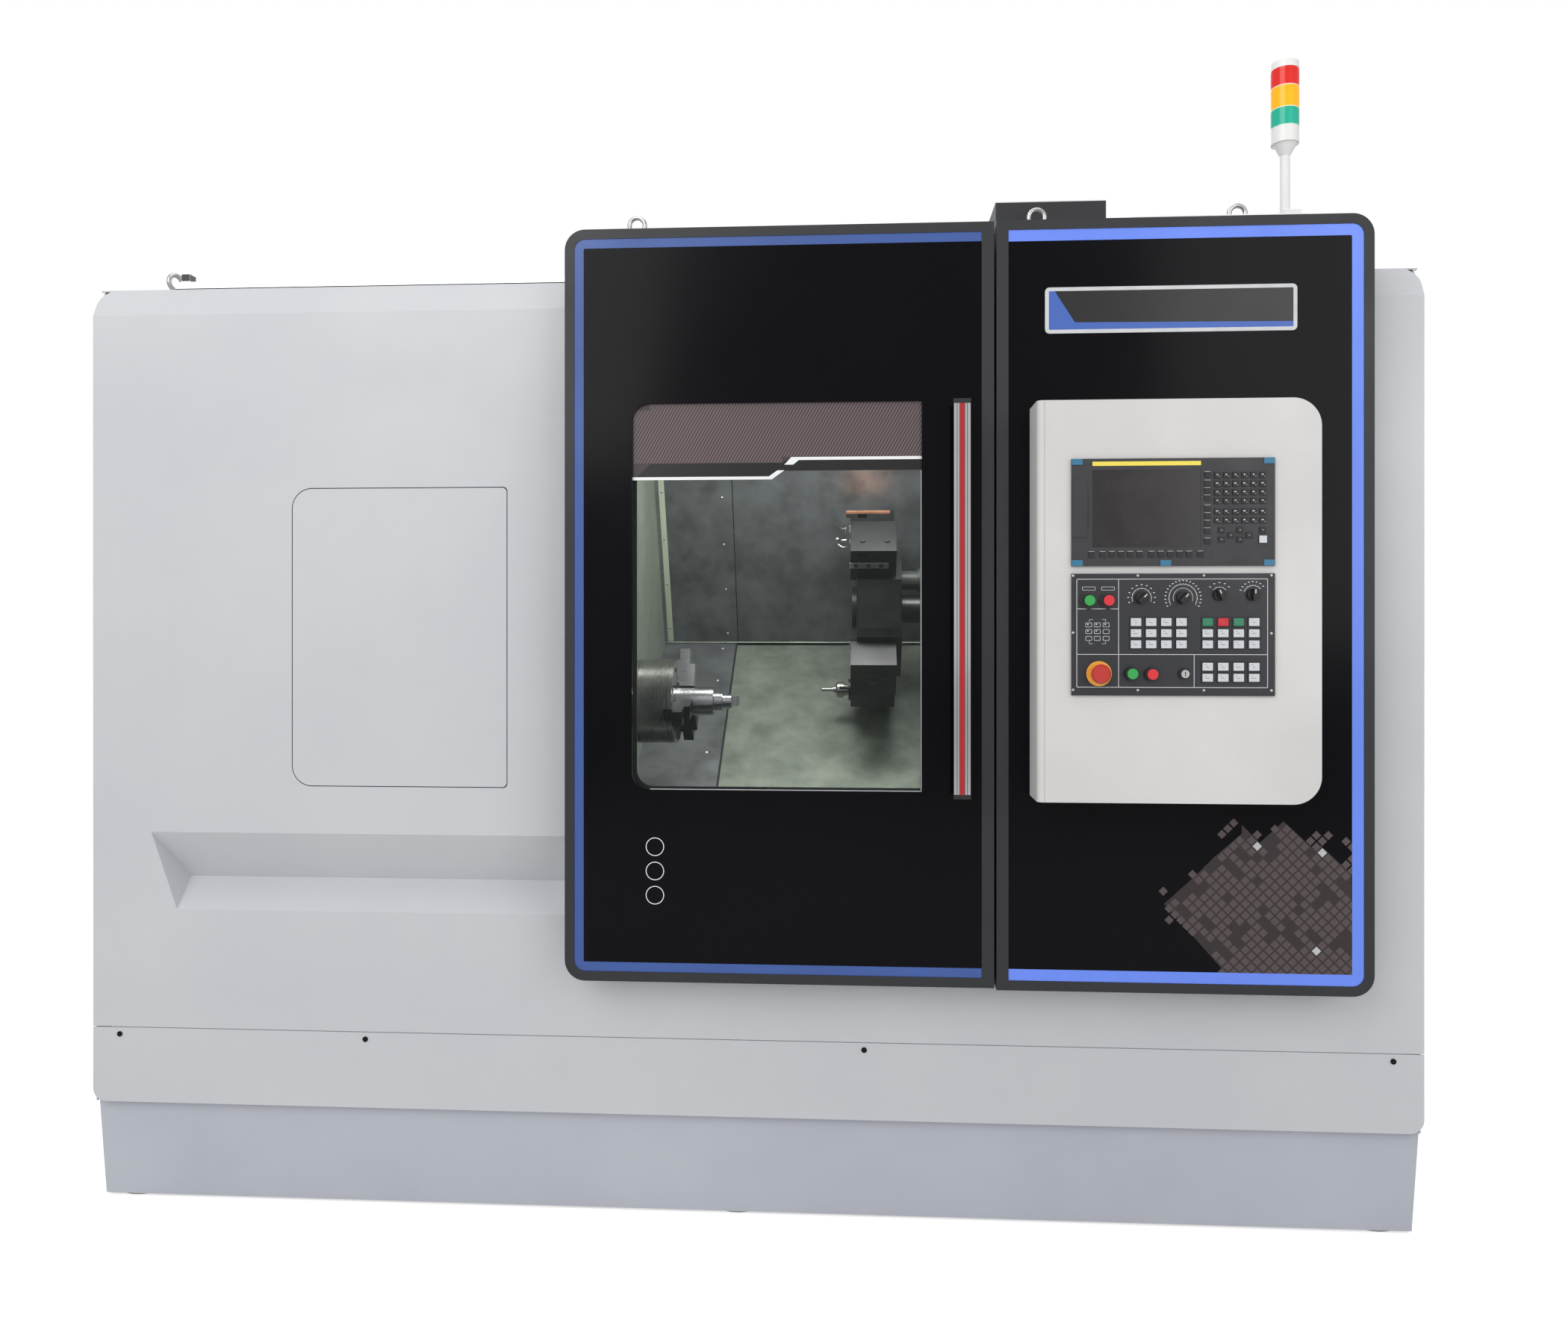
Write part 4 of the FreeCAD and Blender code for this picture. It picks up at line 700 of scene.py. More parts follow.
@dataclass
class Studio:
    """Pale floor, soft lights and the camera in front of the machine."""

    lens: float = 26.0
    stand_x: float = 0.251
    stand_back: float = 2.315
    eye_height: float = 1.33
    turn_left: float = 3.31
    drop: float = -0.024
    floor_size: float = 60.0

    def build(self) -> None:
        """Makes the floor, the lights, the sky and the camera."""
        self._floor()
        self._sky()
        self._softbox("key", (-2.6, -5.2, 4.2), (0.0, -0.6, 1.2), 4.0, 144.0)
        self._softbox("fill", (3.4, -4.6, 2.6), (0.3, -0.6, 1.1), 3.0, 53.0)
        self._softbox("top", (0.0, -0.5, 5.5), (0.0, 0.0, 1.0), 4.0, 68.0)
        self._softbox("back", (1.5, 5.5, 3.5), (0.0, 0.8, 1.2), 4.0, 90.0)
        self._camera()

    def _floor(self) -> None:
        """Makes the plain pale floor, which looks white out to its far edge."""
        pale = FLOOR_PLAIN.material()
        shader = pale.node_tree.nodes["Principled BSDF"]
        shader.inputs["Emission Color"].default_value = (1.0, 1.0, 1.0, 1.0)
        ray = add_node(pale.node_tree, "ShaderNodeLightPath")
        lift = add_node(pale.node_tree, "ShaderNodeMath", {"operation": "MULTIPLY", 1: 0.6},
                        {0: ray.outputs["Is Camera Ray"]})
        pale.node_tree.links.new(lift.outputs["Value"], shader.inputs["Emission Strength"])
        half = self.floor_size / 2
        data = bpy.data.meshes.new("floor")
        corners = [(-half, -half, 0), (half, -half, 0), (half, half, 0), (-half, half, 0)]
        data.from_pydata(corners, [], [(0, 1, 2, 3)])
        data.materials.append(pale)
        floor = bpy.data.objects.new("floor", data)
        bpy.context.scene.collection.objects.link(floor)

    def _sky(self) -> None:
        """Sets even pale surroundings that light softly and look white behind the machine."""
        scene = bpy.context.scene
        scene.view_settings.view_transform = "Standard"
        scene.world = scene.world or bpy.data.worlds.new("surroundings")
        scene.world.use_nodes = True
        tree = scene.world.node_tree
        light = tree.nodes["Background"]
        light.inputs["Color"].default_value = (0.97, 0.975, 0.98, 1.0)
        light.inputs["Strength"].default_value = 0.66
        ray = add_node(tree, "ShaderNodeLightPath")
        white = add_node(tree, "ShaderNodeBackground",
                         {"Color": (1.0, 1.0, 1.0, 1.0), "Strength": 1.0})
        mixed = add_node(tree, "ShaderNodeMixShader", None,
                         {0: ray.outputs["Is Camera Ray"], 1: light.outputs["Background"],
                          2: white.outputs["Background"]})
        tree.links.new(mixed.outputs["Shader"], tree.nodes["World Output"].inputs["Surface"])

    def _softbox(self, name: str, place: Point, target: Point, size: float,
                 power: float) -> None:
        """Hangs one square area light.

        Args:
            name: the light's name.
            place: where it hangs.
            target: what it points at.
            size: side of the square.
            power: watts.
        """
        data = bpy.data.lights.new(name, "AREA")
        data.size = size
        data.energy = power
        lamp = bpy.data.objects.new(name, data)
        lamp.location = place
        aim = Vector(target) - Vector(place)
        lamp.rotation_euler = aim.to_track_quat("-Z", "Y").to_euler()
        bpy.context.scene.collection.objects.link(lamp)

    def _camera(self) -> None:
        """Stands the camera in front, at chest height."""
        data = bpy.data.cameras.new("camera")
        data.lens = self.lens
        data.sensor_width = 36.0
        data.shift_y = self.drop
        data.clip_end = 100.0
        camera = bpy.data.objects.new("camera", data)
        face = Region.of("console_housing").near
        camera.location = (self.stand_x, face - self.stand_back, self.eye_height)
        camera.rotation_euler = (math.radians(90), 0.0, math.radians(self.turn_left))
        bpy.context.scene.collection.objects.link(camera)
        bpy.context.scene.camera = camera


@dataclass
class Covers:
    """Outer sheet-metal covers, plinth, feet and what is fixed to them."""

    seam: float = 2.0 * MM
    screw_places: tuple[float, ...] = (-1.416, -0.841, 0.283, 1.415)

    def build(self) -> None:
        """Dresses the covers and adds their seals and screws."""
        dress(COVER_PAINT, "front_cover", "service_hatch", "end_covers", "rear_cover",
              "roof_cover", "kick_panel")
        dress(PLINTH_PAINT, "plinth_shell")
        dress(BLACK_ABS, "cover_screws")
        dress(ZINC, "leveling_feet", "lifting_eyes")
        self._hatch_seal()
        self._screw_socket_shade()
        self._kick_seam()

    def _kick_seam(self) -> None:
        """A dark strip in the joint over the kick panel."""
        kick = Region.of("kick_panel")
        shaper = Shaper()
        shaper.block((kick.left + 2 * MM, kick.near + 1.2 * MM, kick.high),
                     (kick.right - 2 * MM, kick.near + 2.4 * MM, kick.high + 3.5 * MM))
        shaper.finish("kick_seam_strip", SEAL_AND_SHADE, "machine", "black_plastic")

    def _hatch_seal(self) -> None:
        """A thin seal in the gap round the service hatch."""
        hatch = Region.of("service_hatch")
        corner = 0.045
        radii = (corner, 0.010, 0.010, corner)
        inner = rounded(hatch.left, hatch.right, hatch.low, hatch.high, radii)
        gap = self.seam
        outer = rounded(hatch.left - gap, hatch.right + gap, hatch.low - gap, hatch.high + gap,
                        tuple(r + gap for r in radii))
        shaper = Shaper()
        band(outer, inner, hatch.near + 0.8 * MM, hatch.far, shaper)
        shaper.finish("hatch_seal", SEAL_AND_SHADE, "machine", "black_plastic")

    def _screw_socket_shade(self) -> None:
        """Painted shade: a dark hex ring in the socket of each dark screw head."""
        low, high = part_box("cover_screws")
        shaper = Shaper()
        for x in self.screw_places:
            shaper.collar((x, low[1], (low[2] + high[2]) / 2), (0, 1, 0), 5.2 * MM, 2.6 * MM,
                          0.4 * MM, 6)
        shaper.finish("screw_socket_painted_shade", BLACK_FILM_AND_SHADE, "machine", "black_plastic")


@dataclass
class SlidingDoor:
    """The glazed door: frame, coloured edge, printed window head and handle."""

    stripe: float = 0.020
    stripe_corner: float = 0.020
    ring_radius: float = 0.019
    ring_line: float = 1.6 * MM
    ring_drops: tuple[float, ...] = (0.122, 0.174, 0.226)
    hatch_pitch: float = 6.85 * MM
    hatch_line: float = 2.9 * MM
    hatch_slope: float = 60.0
    rule: float = 6.5 * MM
    body: str = "door"

    def build(self) -> None:
        """Dresses the door and adds its films, seals and trim."""
        dress(FRAME_PAINT, "door_shell")
        dress(BLACK_ACRYLIC, "door_fascia")
        dress(PANE, "door_window")
        dress(CHROME, "door_handle")
        dress(ZINC, "door_carriages")
        self.panel = Region.of("door_fascia")
        pane = Region.of("door_window")
        lap = 0.018
        self.window = Region(pane.left + lap, pane.right - lap, pane.near, pane.far,
                             pane.low + lap, pane.high - lap)
        self._edge_stripe()
        self._window_head()
        self._window_edge_highlight()
        self._rings()
        self._handle_trim()
        self._edge_seal()

    def _edge_stripe(self) -> None:
        """The blue film along the left, top and bottom edges."""
        p, wide = self.panel, self.stripe
        outer = rounded(p.left, p.right, p.low, p.high,
                        (self.stripe_corner, 0, 0, self.stripe_corner))
        inner = rounded(p.left + wide, p.right, p.low + wide, p.high - wide,
                        (3 * MM, 0, 0, 3 * MM))
        corner = len(rounded(0, 1, 0, 1, (self.stripe_corner, 0, 0, 0))) - 3
        lower_outer, upper_outer = outer[:corner], outer[corner + 2:]
        lower_inner, upper_inner = inner[:corner], inner[corner + 2:]
        outline = ([(p.right, p.high)] + upper_outer + lower_outer + [(p.right, p.low),
                   (p.right, p.low + wide)] + lower_inner[::-1] + upper_inner[::-1]
                   + [(p.right, p.high - wide)])
        shaper = Shaper()
        shaper.slab(outline, p.near - FILM, p.near)
        shaper.finish("door_blue_film", BLUE_FILM, self.body, "dark_panel")

    def _window_head(self) -> None:
        """The printed head of the window: hatched field, black band and two pale rules."""
        w = self.window
        back, front = w.near - 0.05 * MM, w.near - FILM
        step_x = w.left + 0.5205 * (w.right - w.left)
        low_rule, high_rule = w.low + 0.669, w.low + 0.710
        black_top = high_rule - 9 * MM
        field_shape = [(w.left, low_rule + 4 * MM), (w.left + 9 * MM, low_rule + 4 * MM),
                       (w.left + 39 * MM, black_top), (step_x, black_top),
                       (step_x + 15 * MM, high_rule), (w.right, high_rule),
                       (w.right, w.high)]
        corner = rounded(w.left, w.right, w.low, w.high, (0, 0, 0, 0.037))[3:]
        Shaper().slab(field_shape + corner, front, back).finish(
            "window_head_field", BROWN_FILM, self.body, "dark_plate")
        dark = [(w.left, low_rule), (step_x - 20 * MM, low_rule),
                (step_x + 4 * MM, low_rule + 15 * MM), (w.right, low_rule + 15 * MM),
                (w.right, high_rule), (step_x + 15 * MM, high_rule),
                (step_x, black_top), (w.left + 39 * MM, black_top),
                (w.left + 9 * MM, low_rule + 4 * MM), (w.left, low_rule + 4 * MM)]
        Shaper().slab(dark, front, back).finish(
            "window_head_band", BLACK_FILM_AND_SHADE, self.body, "dark_plate")
        self._hatching(w, low_rule, high_rule, black_top, step_x, front)
        self._rules(w, low_rule, high_rule, step_x, front)

    def _hatching(self, w: Region, low_rule: float, high_rule: float, black_top: float,
                  step_x: float, front: float) -> None:
        """Fine slanting lines over the field.

        Args:
            w: the window's region.
            low_rule: height of the lower rule.
            high_rule: height of the upper rule.
            black_top: height of the black band on the left.
            step_x: where the rules change height.
            front: y of the field's face.
        """
        shaper = Shaper()
        height = w.high - low_rule
        across = (height + 0.04) / math.tan(math.radians(self.hatch_slope))
        start = w.left - across
        while start < w.right:
            line = stroke((start, low_rule - 0.02), (start + across, w.high + 0.02),
                          self.hatch_line)
            for left, right, low in ((w.left + 2 * MM, w.left + 38 * MM, black_top + 1 * MM),
                                     (w.left + 38 * MM, step_x, black_top + 1 * MM),
                                     (step_x, w.right, high_rule + 4 * MM)):
                inset = 14 * MM if left < w.left + 10 * MM else 1 * MM
                part = clip(line, left, right, low, w.high - inset)
                if len(part) > 2:
                    shaper.slab(part, front - 0.05 * MM, front)
            start += self.hatch_pitch
        shaper.finish("window_head_hatching", LINE_INK, self.body, "dark_plate")

    def _rules(self, w: Region, low_rule: float, high_rule: float, step_x: float,
               front: float) -> None:
        """The two pale rules, with their slanted ends.

        Args:
            w: the window's region.
            low_rule: height of the lower rule.
            high_rule: height of the upper rule.
            step_x: where the rules change height.
            front: y of the field's face.
        """
        thick = self.rule
        lower = [(w.left, low_rule - thick / 2), (step_x - 22 * MM, low_rule - thick / 2),
                 (step_x + 5 * MM, low_rule + 16 * MM), (step_x - 10 * MM, low_rule + 16 * MM),
                 (step_x - 28 * MM, low_rule + thick / 2), (w.left, low_rule + thick / 2)]
        upper = [(step_x + 5 * MM, high_rule - 13 * MM), (step_x + 24 * MM, high_rule - 13 * MM),
                 (step_x + 36 * MM, high_rule - thick / 2), (w.right, high_rule - thick / 2),
                 (w.right, high_rule + thick / 2), (step_x + 20 * MM, high_rule + thick / 2)]
        shaper = Shaper()
        for outline in (lower, upper):
            shaper.slab(outline, front - 0.1 * MM, front - 0.02 * MM)
        shaper.finish("window_head_rules", WHITE_INK, self.body, "dark_plate")

    def _window_edge_highlight(self) -> None:
        """Painted highlight: a pale line along the right and lower edges of the window."""
        w = self.window
        shaper = Shaper()
        # Pale ink painted as the highlight that the window's edges catch.
        shaper.block((w.right - 2.2 * MM, w.near - 1.6 * MM, w.low + 1 * MM),
                     (w.right - 0.4 * MM, w.near - 0.1 * MM, w.low + 0.683))
        shaper.block((w.left + 0.038, w.near - 1.6 * MM, w.low + 0.4 * MM),
                     (w.right - 0.4 * MM, w.near - 0.1 * MM, w.low + 1.8 * MM))
        shaper.finish("window_edge_painted_highlight", PALE_INK_AND_HIGHLIGHT, self.body, "bright_steel", 0.3 * MM)

    def _rings(self) -> None:
        """Three plain printed rings under the window."""
        shaper = Shaper()
        x = self.window.left + 0.0495
        for drop in self.ring_drops:
            shaper.arc((x, self.window.low - drop), self.ring_radius, self.ring_line, 0, 360,
                       self.panel.near - FILM, self.panel.near, 48)
        shaper.finish("door_rings", WHITE_INK, self.body, "dark_panel")

    def _handle_trim(self) -> None:
        """Red strip between two grooves down the handle, dark lines of painted shade in those
        grooves, and its end caps.
        """
        bar = Region.of("door_handle")
        y = bar.near
        red, grooves, caps = Shaper(), Shaper(), Shaper()
        red.block((bar.mid_x - 4.5 * MM, y - 0.55 * MM, bar.low + 3 * MM),
                  (bar.mid_x + 4.5 * MM, y + 1.5 * MM, bar.high - 3 * MM))
        # Painted shade: dark strips in the grooves on either side of the red strip.
        for side in (-1, 1):
            for offset in (5.3, 10.6):
                x = bar.mid_x + side * offset * MM
                grooves.block((x - 0.6 * MM, y - 0.12 * MM, bar.low + 2 * MM),
                              (x + 0.6 * MM, y + 1.0 * MM, bar.high - 2 * MM))
        for end, inward in ((bar.low, 1), (bar.high, -1)):
            caps.slab([(bar.left - 1.5 * MM, end - inward * 0.5 * MM),
                       (bar.right + 1.5 * MM, end - inward * 0.5 * MM),
                       (bar.right + 0.2 * MM, end + inward * 9 * MM),
                       (bar.left - 0.2 * MM, end + inward * 9 * MM)],
                      y - 0.9 * MM, y + 16 * MM)
        red.finish("handle_red_strip", RED_STRIP, self.body, "red_plastic", 0.3 * MM)
        grooves.finish("handle_groove_painted_shade", SEAL_AND_SHADE, self.body, "black_plastic")
        caps.finish("handle_end_caps", BLACK_ABS, self.body, "black_plastic", 0.5 * MM)

    def _edge_seal(self) -> None:
        """Rubber lip down the door's closing edge."""
        shell = Region.of("door_shell")
        shaper = Shaper()
        shaper.block((shell.right, shell.near + 14 * MM, shell.low + 20 * MM),
                     (shell.right + 3.5 * MM, shell.near + 26 * MM, shell.high - 20 * MM))
        shaper.finish("door_edge_seal", SEAL_AND_SHADE, self.body, "key_rubber", 1.0 * MM)


@dataclass
class FixedModule:
    """The fixed panel beside the door, with its coloured edge, badge plate and tile pattern."""

    stripe: float = 0.024
    stripe_corner: float = 0.023
    badge_left: float = 0.076
    badge_width: float = 0.518
    badge_top: float = 0.123
    badge_height: float = 0.097
    tile_pitch: float = 17.0 * MM
    tile_side: float = 13.5 * MM
    field_width: float = 0.388
    field_height: float = 0.330
    ground_edge: tuple[Pair, ...] = (
        (257, 0), (383, 142), (320, 200), (282, 239), (224, 290), (224, 309), (187, 272),
        (139, 317), (75, 257), (64, 268), (2, 209), (0, 0))
    body: str = "machine"

    def build(self) -> None:
        """Dresses the panel and adds its films."""
        dress(FRAME_PAINT, "module_frame")
        dress(BLACK_ACRYLIC, "module_fascia")
        self.panel = Region.of("module_fascia")
        self._edge_stripe()
        self._badge()
        self._tiles()

    def _edge_stripe(self) -> None:
        """The brighter blue film along the top, right and bottom edges."""
        p, wide = self.panel, self.stripe
        outer = rounded(p.left, p.right, p.low, p.high,
                        (0, self.stripe_corner, self.stripe_corner, 0))
        inner = rounded(p.left, p.right - wide, p.low + wide, p.high - wide,
                        (0, 3 * MM, 3 * MM, 0))
        shaper = Shaper()
        shaper.slab(outer + inner[::-1], p.near - FILM, p.near)
        shaper.finish("module_blue_film", BRIGHT_BLUE_FILM, self.body, "dark_panel")

    def _badge(self) -> None:
        """A plain plate: pale border, blue wedge and foot, and a bare dark field."""
        left = self.panel.left + self.badge_left
        right = left + self.badge_width
        high = self.panel.high - self.badge_top
        low = high - self.badge_height
        y = self.panel.near
        rim, base = 8 * MM, 2.0 * MM
        plate, border, blue = Shaper(), Shaper(), Shaper()
        radii = (9.5 * MM,) * 4
        plate.slab(rounded(left + rim, right - rim, low + rim, high - rim, (2 * MM,) * 4),
                   y - base, y)
        band(rounded(left, right, low, high, radii),
             rounded(left + rim, right - rim, low + rim, high - rim, (2 * MM,) * 4),
             y - base - 0.5 * MM, y, border)
        foot = low + rim + 15 * MM
        wedge = [(left + rim, low + rim), (right - rim, low + rim), (right - rim, foot - 4 * MM),
                 (left + 62 * MM, foot), (left + 20 * MM, high - rim), (left + rim, high - rim)]
        blue.slab(wedge, y - base - FILM, y - base)
        plate.finish("badge_plate", BLACK_FILM_AND_SHADE, self.body, "dark_panel")
        border.finish("badge_border", PALE_INK_AND_HIGHLIGHT, self.body, "cover_paint", 0.4 * MM)
        blue.finish("badge_blue_field", BADGE_BLUE, self.body, "dark_panel")

    def _tiles(self) -> None:
        """Small square tiles on their corners over a dark stepped ground, in the lower right."""
        chance = random.Random(23)
        p = self.panel
        right, low = p.right - self.stripe, p.low + self.stripe
        ground = Shaper()
        ground.slab([(right - inward * MM, low + up * MM) for inward, up in self.ground_edge],
                    p.near - 0.6 * FILM, p.near)
        ground.finish("tiles_ground", TILE_DARK, self.body, "dark_panel")
        half, side = self.tile_pitch / math.sqrt(2), self.tile_side / math.sqrt(2)
        shapers = {TILE_MID: Shaper(), TILE_LIGHT: Shaper()}
        count = int(self.field_width / half) + 2
        runs = {lane: self._lane(chance, count) for lane in range(-count, count + 1)}
        for row in range(int(self.field_height / half) + 1):
            for column in range(count):
                if (row + column) % 2 or not runs[row - column][row]:
                    continue
                x, z = right - column * half, low + row * half
                if not self._inside(column * half, row * half, chance):
                    continue
                diamond = [(x - side, z), (x, z - side), (x + side, z), (x, z + side)]
                part = clip(diamond, p.left, right, low, p.high)
                if len(part) > 2:
                    tone = TILE_LIGHT if chance.random() > 0.985 else TILE_MID
                    shapers[tone].slab(part, p.near - FILM, p.near)
        shapers[TILE_MID].finish("tiles_mid", TILE_MID, self.body, "dark_panel")
        shapers[TILE_LIGHT].finish("tiles_light", TILE_LIGHT, self.body, "dark_panel")

    def _lane(self, chance: random.Random, count: int) -> list[bool]:
        """Runs of tiles and gaps down one slanting lane.

        Args:
            chance: seeded random source.
            count: places in the lane.

        Returns:
            True for each place that holds a tile.
        """
        lane: list[bool] = []
        while len(lane) <= count:
            lane += [True] * chance.randint(3, 8) + [False] * chance.randint(1, 3)
        return lane

    def _inside(self, inward: float, upward: float, chance: random.Random) -> bool:
        """Whether a tile belongs to the field, or to the loose scatter at its upper left.

        Args:
            inward: distance from the right edge.
            upward: distance from the lower edge.
            chance: seeded random source.

        Returns:
            True if the tile is laid.
        """
        outside = max(upward + inward - 0.52, inward - upward - 0.25,
                      upward - 0.31 + 0.25 * abs(inward - 0.13))
        return outside < 0.0 or (outside < 0.035 and chance.random() < 0.2)


@dataclass
class Console:
    """The control console: display, operator plate, their keys, lines and dials."""

    corner_cap: Pair = (21.5 * MM, 12.0 * MM)
    line: float = 0.9 * MM
    screw_radius: float = 2.8 * MM
    body: str = "machine"
    slot: str = "dark_plate"

    def build(self) -> None:
        """Dresses the console and adds its small parts."""
        dress(CONSOLE_PAINT, "console_housing")
        dress(GREY_ABS, "display_bezel")
        dress(SCREEN_GLASS, "display_screen")
        dress(KEY_BLACK, "mdi_keys", "panel_keys")
        dress(PANEL_FILM, "operator_plate")
        dress(BLACK_ABS, "button_collars", "mode_knob", "rapid_knob", "feed_knob",
              "spindle_knob")
        dress(BUTTON_GREEN, "power_on", "cycle_start")
        dress(BUTTON_RED, "power_off", "feed_hold")
        dress(STOP_RED, "estop_button")
        dress(ZINC, "key_switch")
        self.display = Region.of("display_bezel")
        self.plate = Region.of("operator_plate")
        self._display_trim()
        self._soft_key_highlights()
        self._display_keys()
        self._plate_lines()
        self._plate_screws()
        self._plate_keys()
        self._lamps()
        self._bezels()
        self._dials()
        self._pointers()
        self._console_bend_shade()

    def on_display(self, right: float, down: float) -> Pair:
        """X and z of a place on the display, in millimetres from its upper left corner."""
        return self.display.left + right * MM, self.display.high - down * MM

    def on_plate(self, right: float, down: float) -> Pair:
        """X and z of a place on the operator plate, from its upper left corner."""
        return self.plate.left + right * MM, self.plate.high - down * MM

    def _display_trim(self) -> None:
        """Yellow strip, card cover, corner caps and the moulded steps of the display."""
        y = self.display.near
        strip, door, caps, steps = Shaper(), Shaper(), Shaper(), Shaper()
        left, high = self.on_display(41.2, 6.0)
        right, low = self.on_display(255.2, 14.5)
        strip.block((left, y - 0.3 * MM, low), (right, y, high))
        left, high = self.on_display(0.8, 38.0)
        right, low = self.on_display(30.5, 158.0)
        door.block((left, y - 1.6 * MM, low), (right, y, high))
        door.rod((left + 24 * MM, y - 1.6 * MM, (low + high) / 2), (0, -1, 0), 2.2 * MM, 0.5 * MM)
        wide, tall = self.corner_cap
        spots = ((0.3, 0.3), (378.2, 0.3), (0.3, 203.7), (378.2, 203.7), (175.0, 204.0))
        for right_mm, down_mm in spots:
            x, z = self.on_display(right_mm, down_mm)
            caps.block((x, y - 1.8 * MM, z - tall), (x + wide, y + 2.5 * MM, z))
        x0, z0 = self.on_display(270.6, 183.0)
        x1, z1 = self.on_display(394.0, 210.0)
        steps.slab([(x0, z1), (x1, z1), (x1, z0), (x0 + 8 * MM, z0)], y - 0.5 * MM, y)
        x0, z0 = self.on_display(33.0, 152.5)
        x1, z1 = self.on_display(262.0, 186.0)
        steps.block((x0, y - 0.5 * MM, z1), (x1, y, z1 + 1.2 * MM))
        x, z = self.on_display(33.3, 64.0)
        steps.block((x, y - 0.8 * MM, z - 76 * MM), (x + 1.6 * MM, y, z))
        strip.finish("display_yellow_strip", YELLOW_FILM, self.body, self.slot)
        door.finish("display_card_cover", GREY_ABS, self.body, self.slot, 0.5 * MM)
        caps.finish("display_corner_caps", TEAL_ABS, self.body, self.slot, 0.5 * MM)
        steps.finish("display_steps", GREY_ABS, self.body, self.slot, 0.3 * MM)

    def _soft_key_highlights(self) -> None:
        """Painted highlight: a pale line above each soft key, where its rim would catch the light.
        """
        y = self.display.near
        shaper = Shaper()
        rows = [(39.2, 192.7)] + [(60.9 + 18.4 * k, 192.7) for k in range(5)]
        rows += [(157.9 + 18.5 * k, 192.7) for k in range(5)] + [(253.9, 192.7)]
        rows += [(267.8, down) for down in (33.8, 51.0, 65.8, 80.6, 100.8, 116.0, 131.2, 146.4,
                                            166.7)]
        for right, down in rows:
            x, z = self.on_display(right, down - 6.4)
            shaper.block((x - 5.6 * MM, y - 0.9 * MM, z - 0.4 * MM),
                         (x + 5.6 * MM, y, z + 0.5 * MM))
        shaper.finish("soft_key_painted_highlights", PALE_INK_AND_HIGHLIGHT, self.body, self.slot)

    def _display_keys(self) -> None:
        """Plain marks on the letter keys, and the pale key in the corner."""
        y = self.display.near - 2.4 * MM
        marks, pale = Shaper(), Shaper()
        columns = [287.4 + 17.72 * k for k in range(6)]
        rows = [34.8 + 17.15 * k for k in range(4)] + [107.5, 125.1]
        for i, right in enumerate(columns):
            for j, down in enumerate(rows):
                x, z = self.on_display(right, down)
                wide = (2.4 + 0.5 * ((i * 3 + j * 5) % 3)) * MM
                marks.block((x - wide, y - 0.12 * MM, z - 0.2 * MM),
                            (x + wide * 0.3, y, z + 2.0 * MM))
                marks.block((x + 2.6 * MM, y - 0.12 * MM, z - 3.4 * MM),
                            (x + 4.2 * MM, y, z - 2.2 * MM))
        for right, down in ((295.2, 144.7), (295.2, 163.3), (313.4, 154.9), (331.3, 144.7),
                            (331.3, 163.3), (349.3, 154.9), (376.0, 144.7)):
            x, z = self.on_display(right, down)
            marks.block((x - 1.4 * MM, y - 0.12 * MM, z - 0.5 * MM),
                        (x + 1.4 * MM, y, z + 0.5 * MM))
        x, z = self.on_display(376.0, 163.3)
        pale.block((x - 7.6 * MM, y - 0.5 * MM, z - 7.3 * MM),
                   (x + 7.6 * MM, y + 1 * MM, z + 7.3 * MM))
        marks.finish("display_key_marks", PALE_INK_AND_HIGHLIGHT, self.body, "key_rubber")
        pale.finish("display_pale_key", KEY_WHITE, self.body, "key_rubber", 0.6 * MM)

    def _plate_lines(self) -> None:
        """Printed frame and dividing lines of the operator plate."""
        y = self.plate.near
        shaper = Shaper()
        half = self.line / 2
        left, high = self.on_plate(10.1, 11.2)
        right, low = self.on_plate(385.4, 228.2)
        band(rounded(left - half, right + half, low - half, high + half, (2 * MM,) * 4),
             rounded(left + half, right - half, low + half, high - half, (1.2 * MM,) * 4),
             y - FILM, y, shaper)
        lines = (((93.0, 11.2), (93.0, 228.2)), ((10.1, 162.3), (385.4, 162.3)),
                 ((10.1, 71.0), (93.0, 71.0)), ((241.7, 162.3), (241.7, 228.2)))
        for start, end in lines:
            shaper.slab(stroke(self.on_plate(*start), self.on_plate(*end), self.line),
                        y - FILM, y)
        shaper.finish("plate_lines", WHITE_INK, self.body, self.slot)

    def _plate_screws(self) -> None:
        """Ten raised screws round the operator plate."""
        y = self.plate.near
        shaper = Shaper()
        spots = [(right, down) for down in (4.2, 234.0) for right in (2.9, 131.0, 261.0, 393.0)]
        spots += [(2.9, 119.0), (393.0, 120.0)]
        for right, down in spots:
            x, z = self.on_plate(right, down)
            shaper.dome((x, y, z), (0, -1, 0), self.screw_radius, 1.4 * MM)
        shaper.finish("plate_screws", ZINC, self.body, "bright_steel")

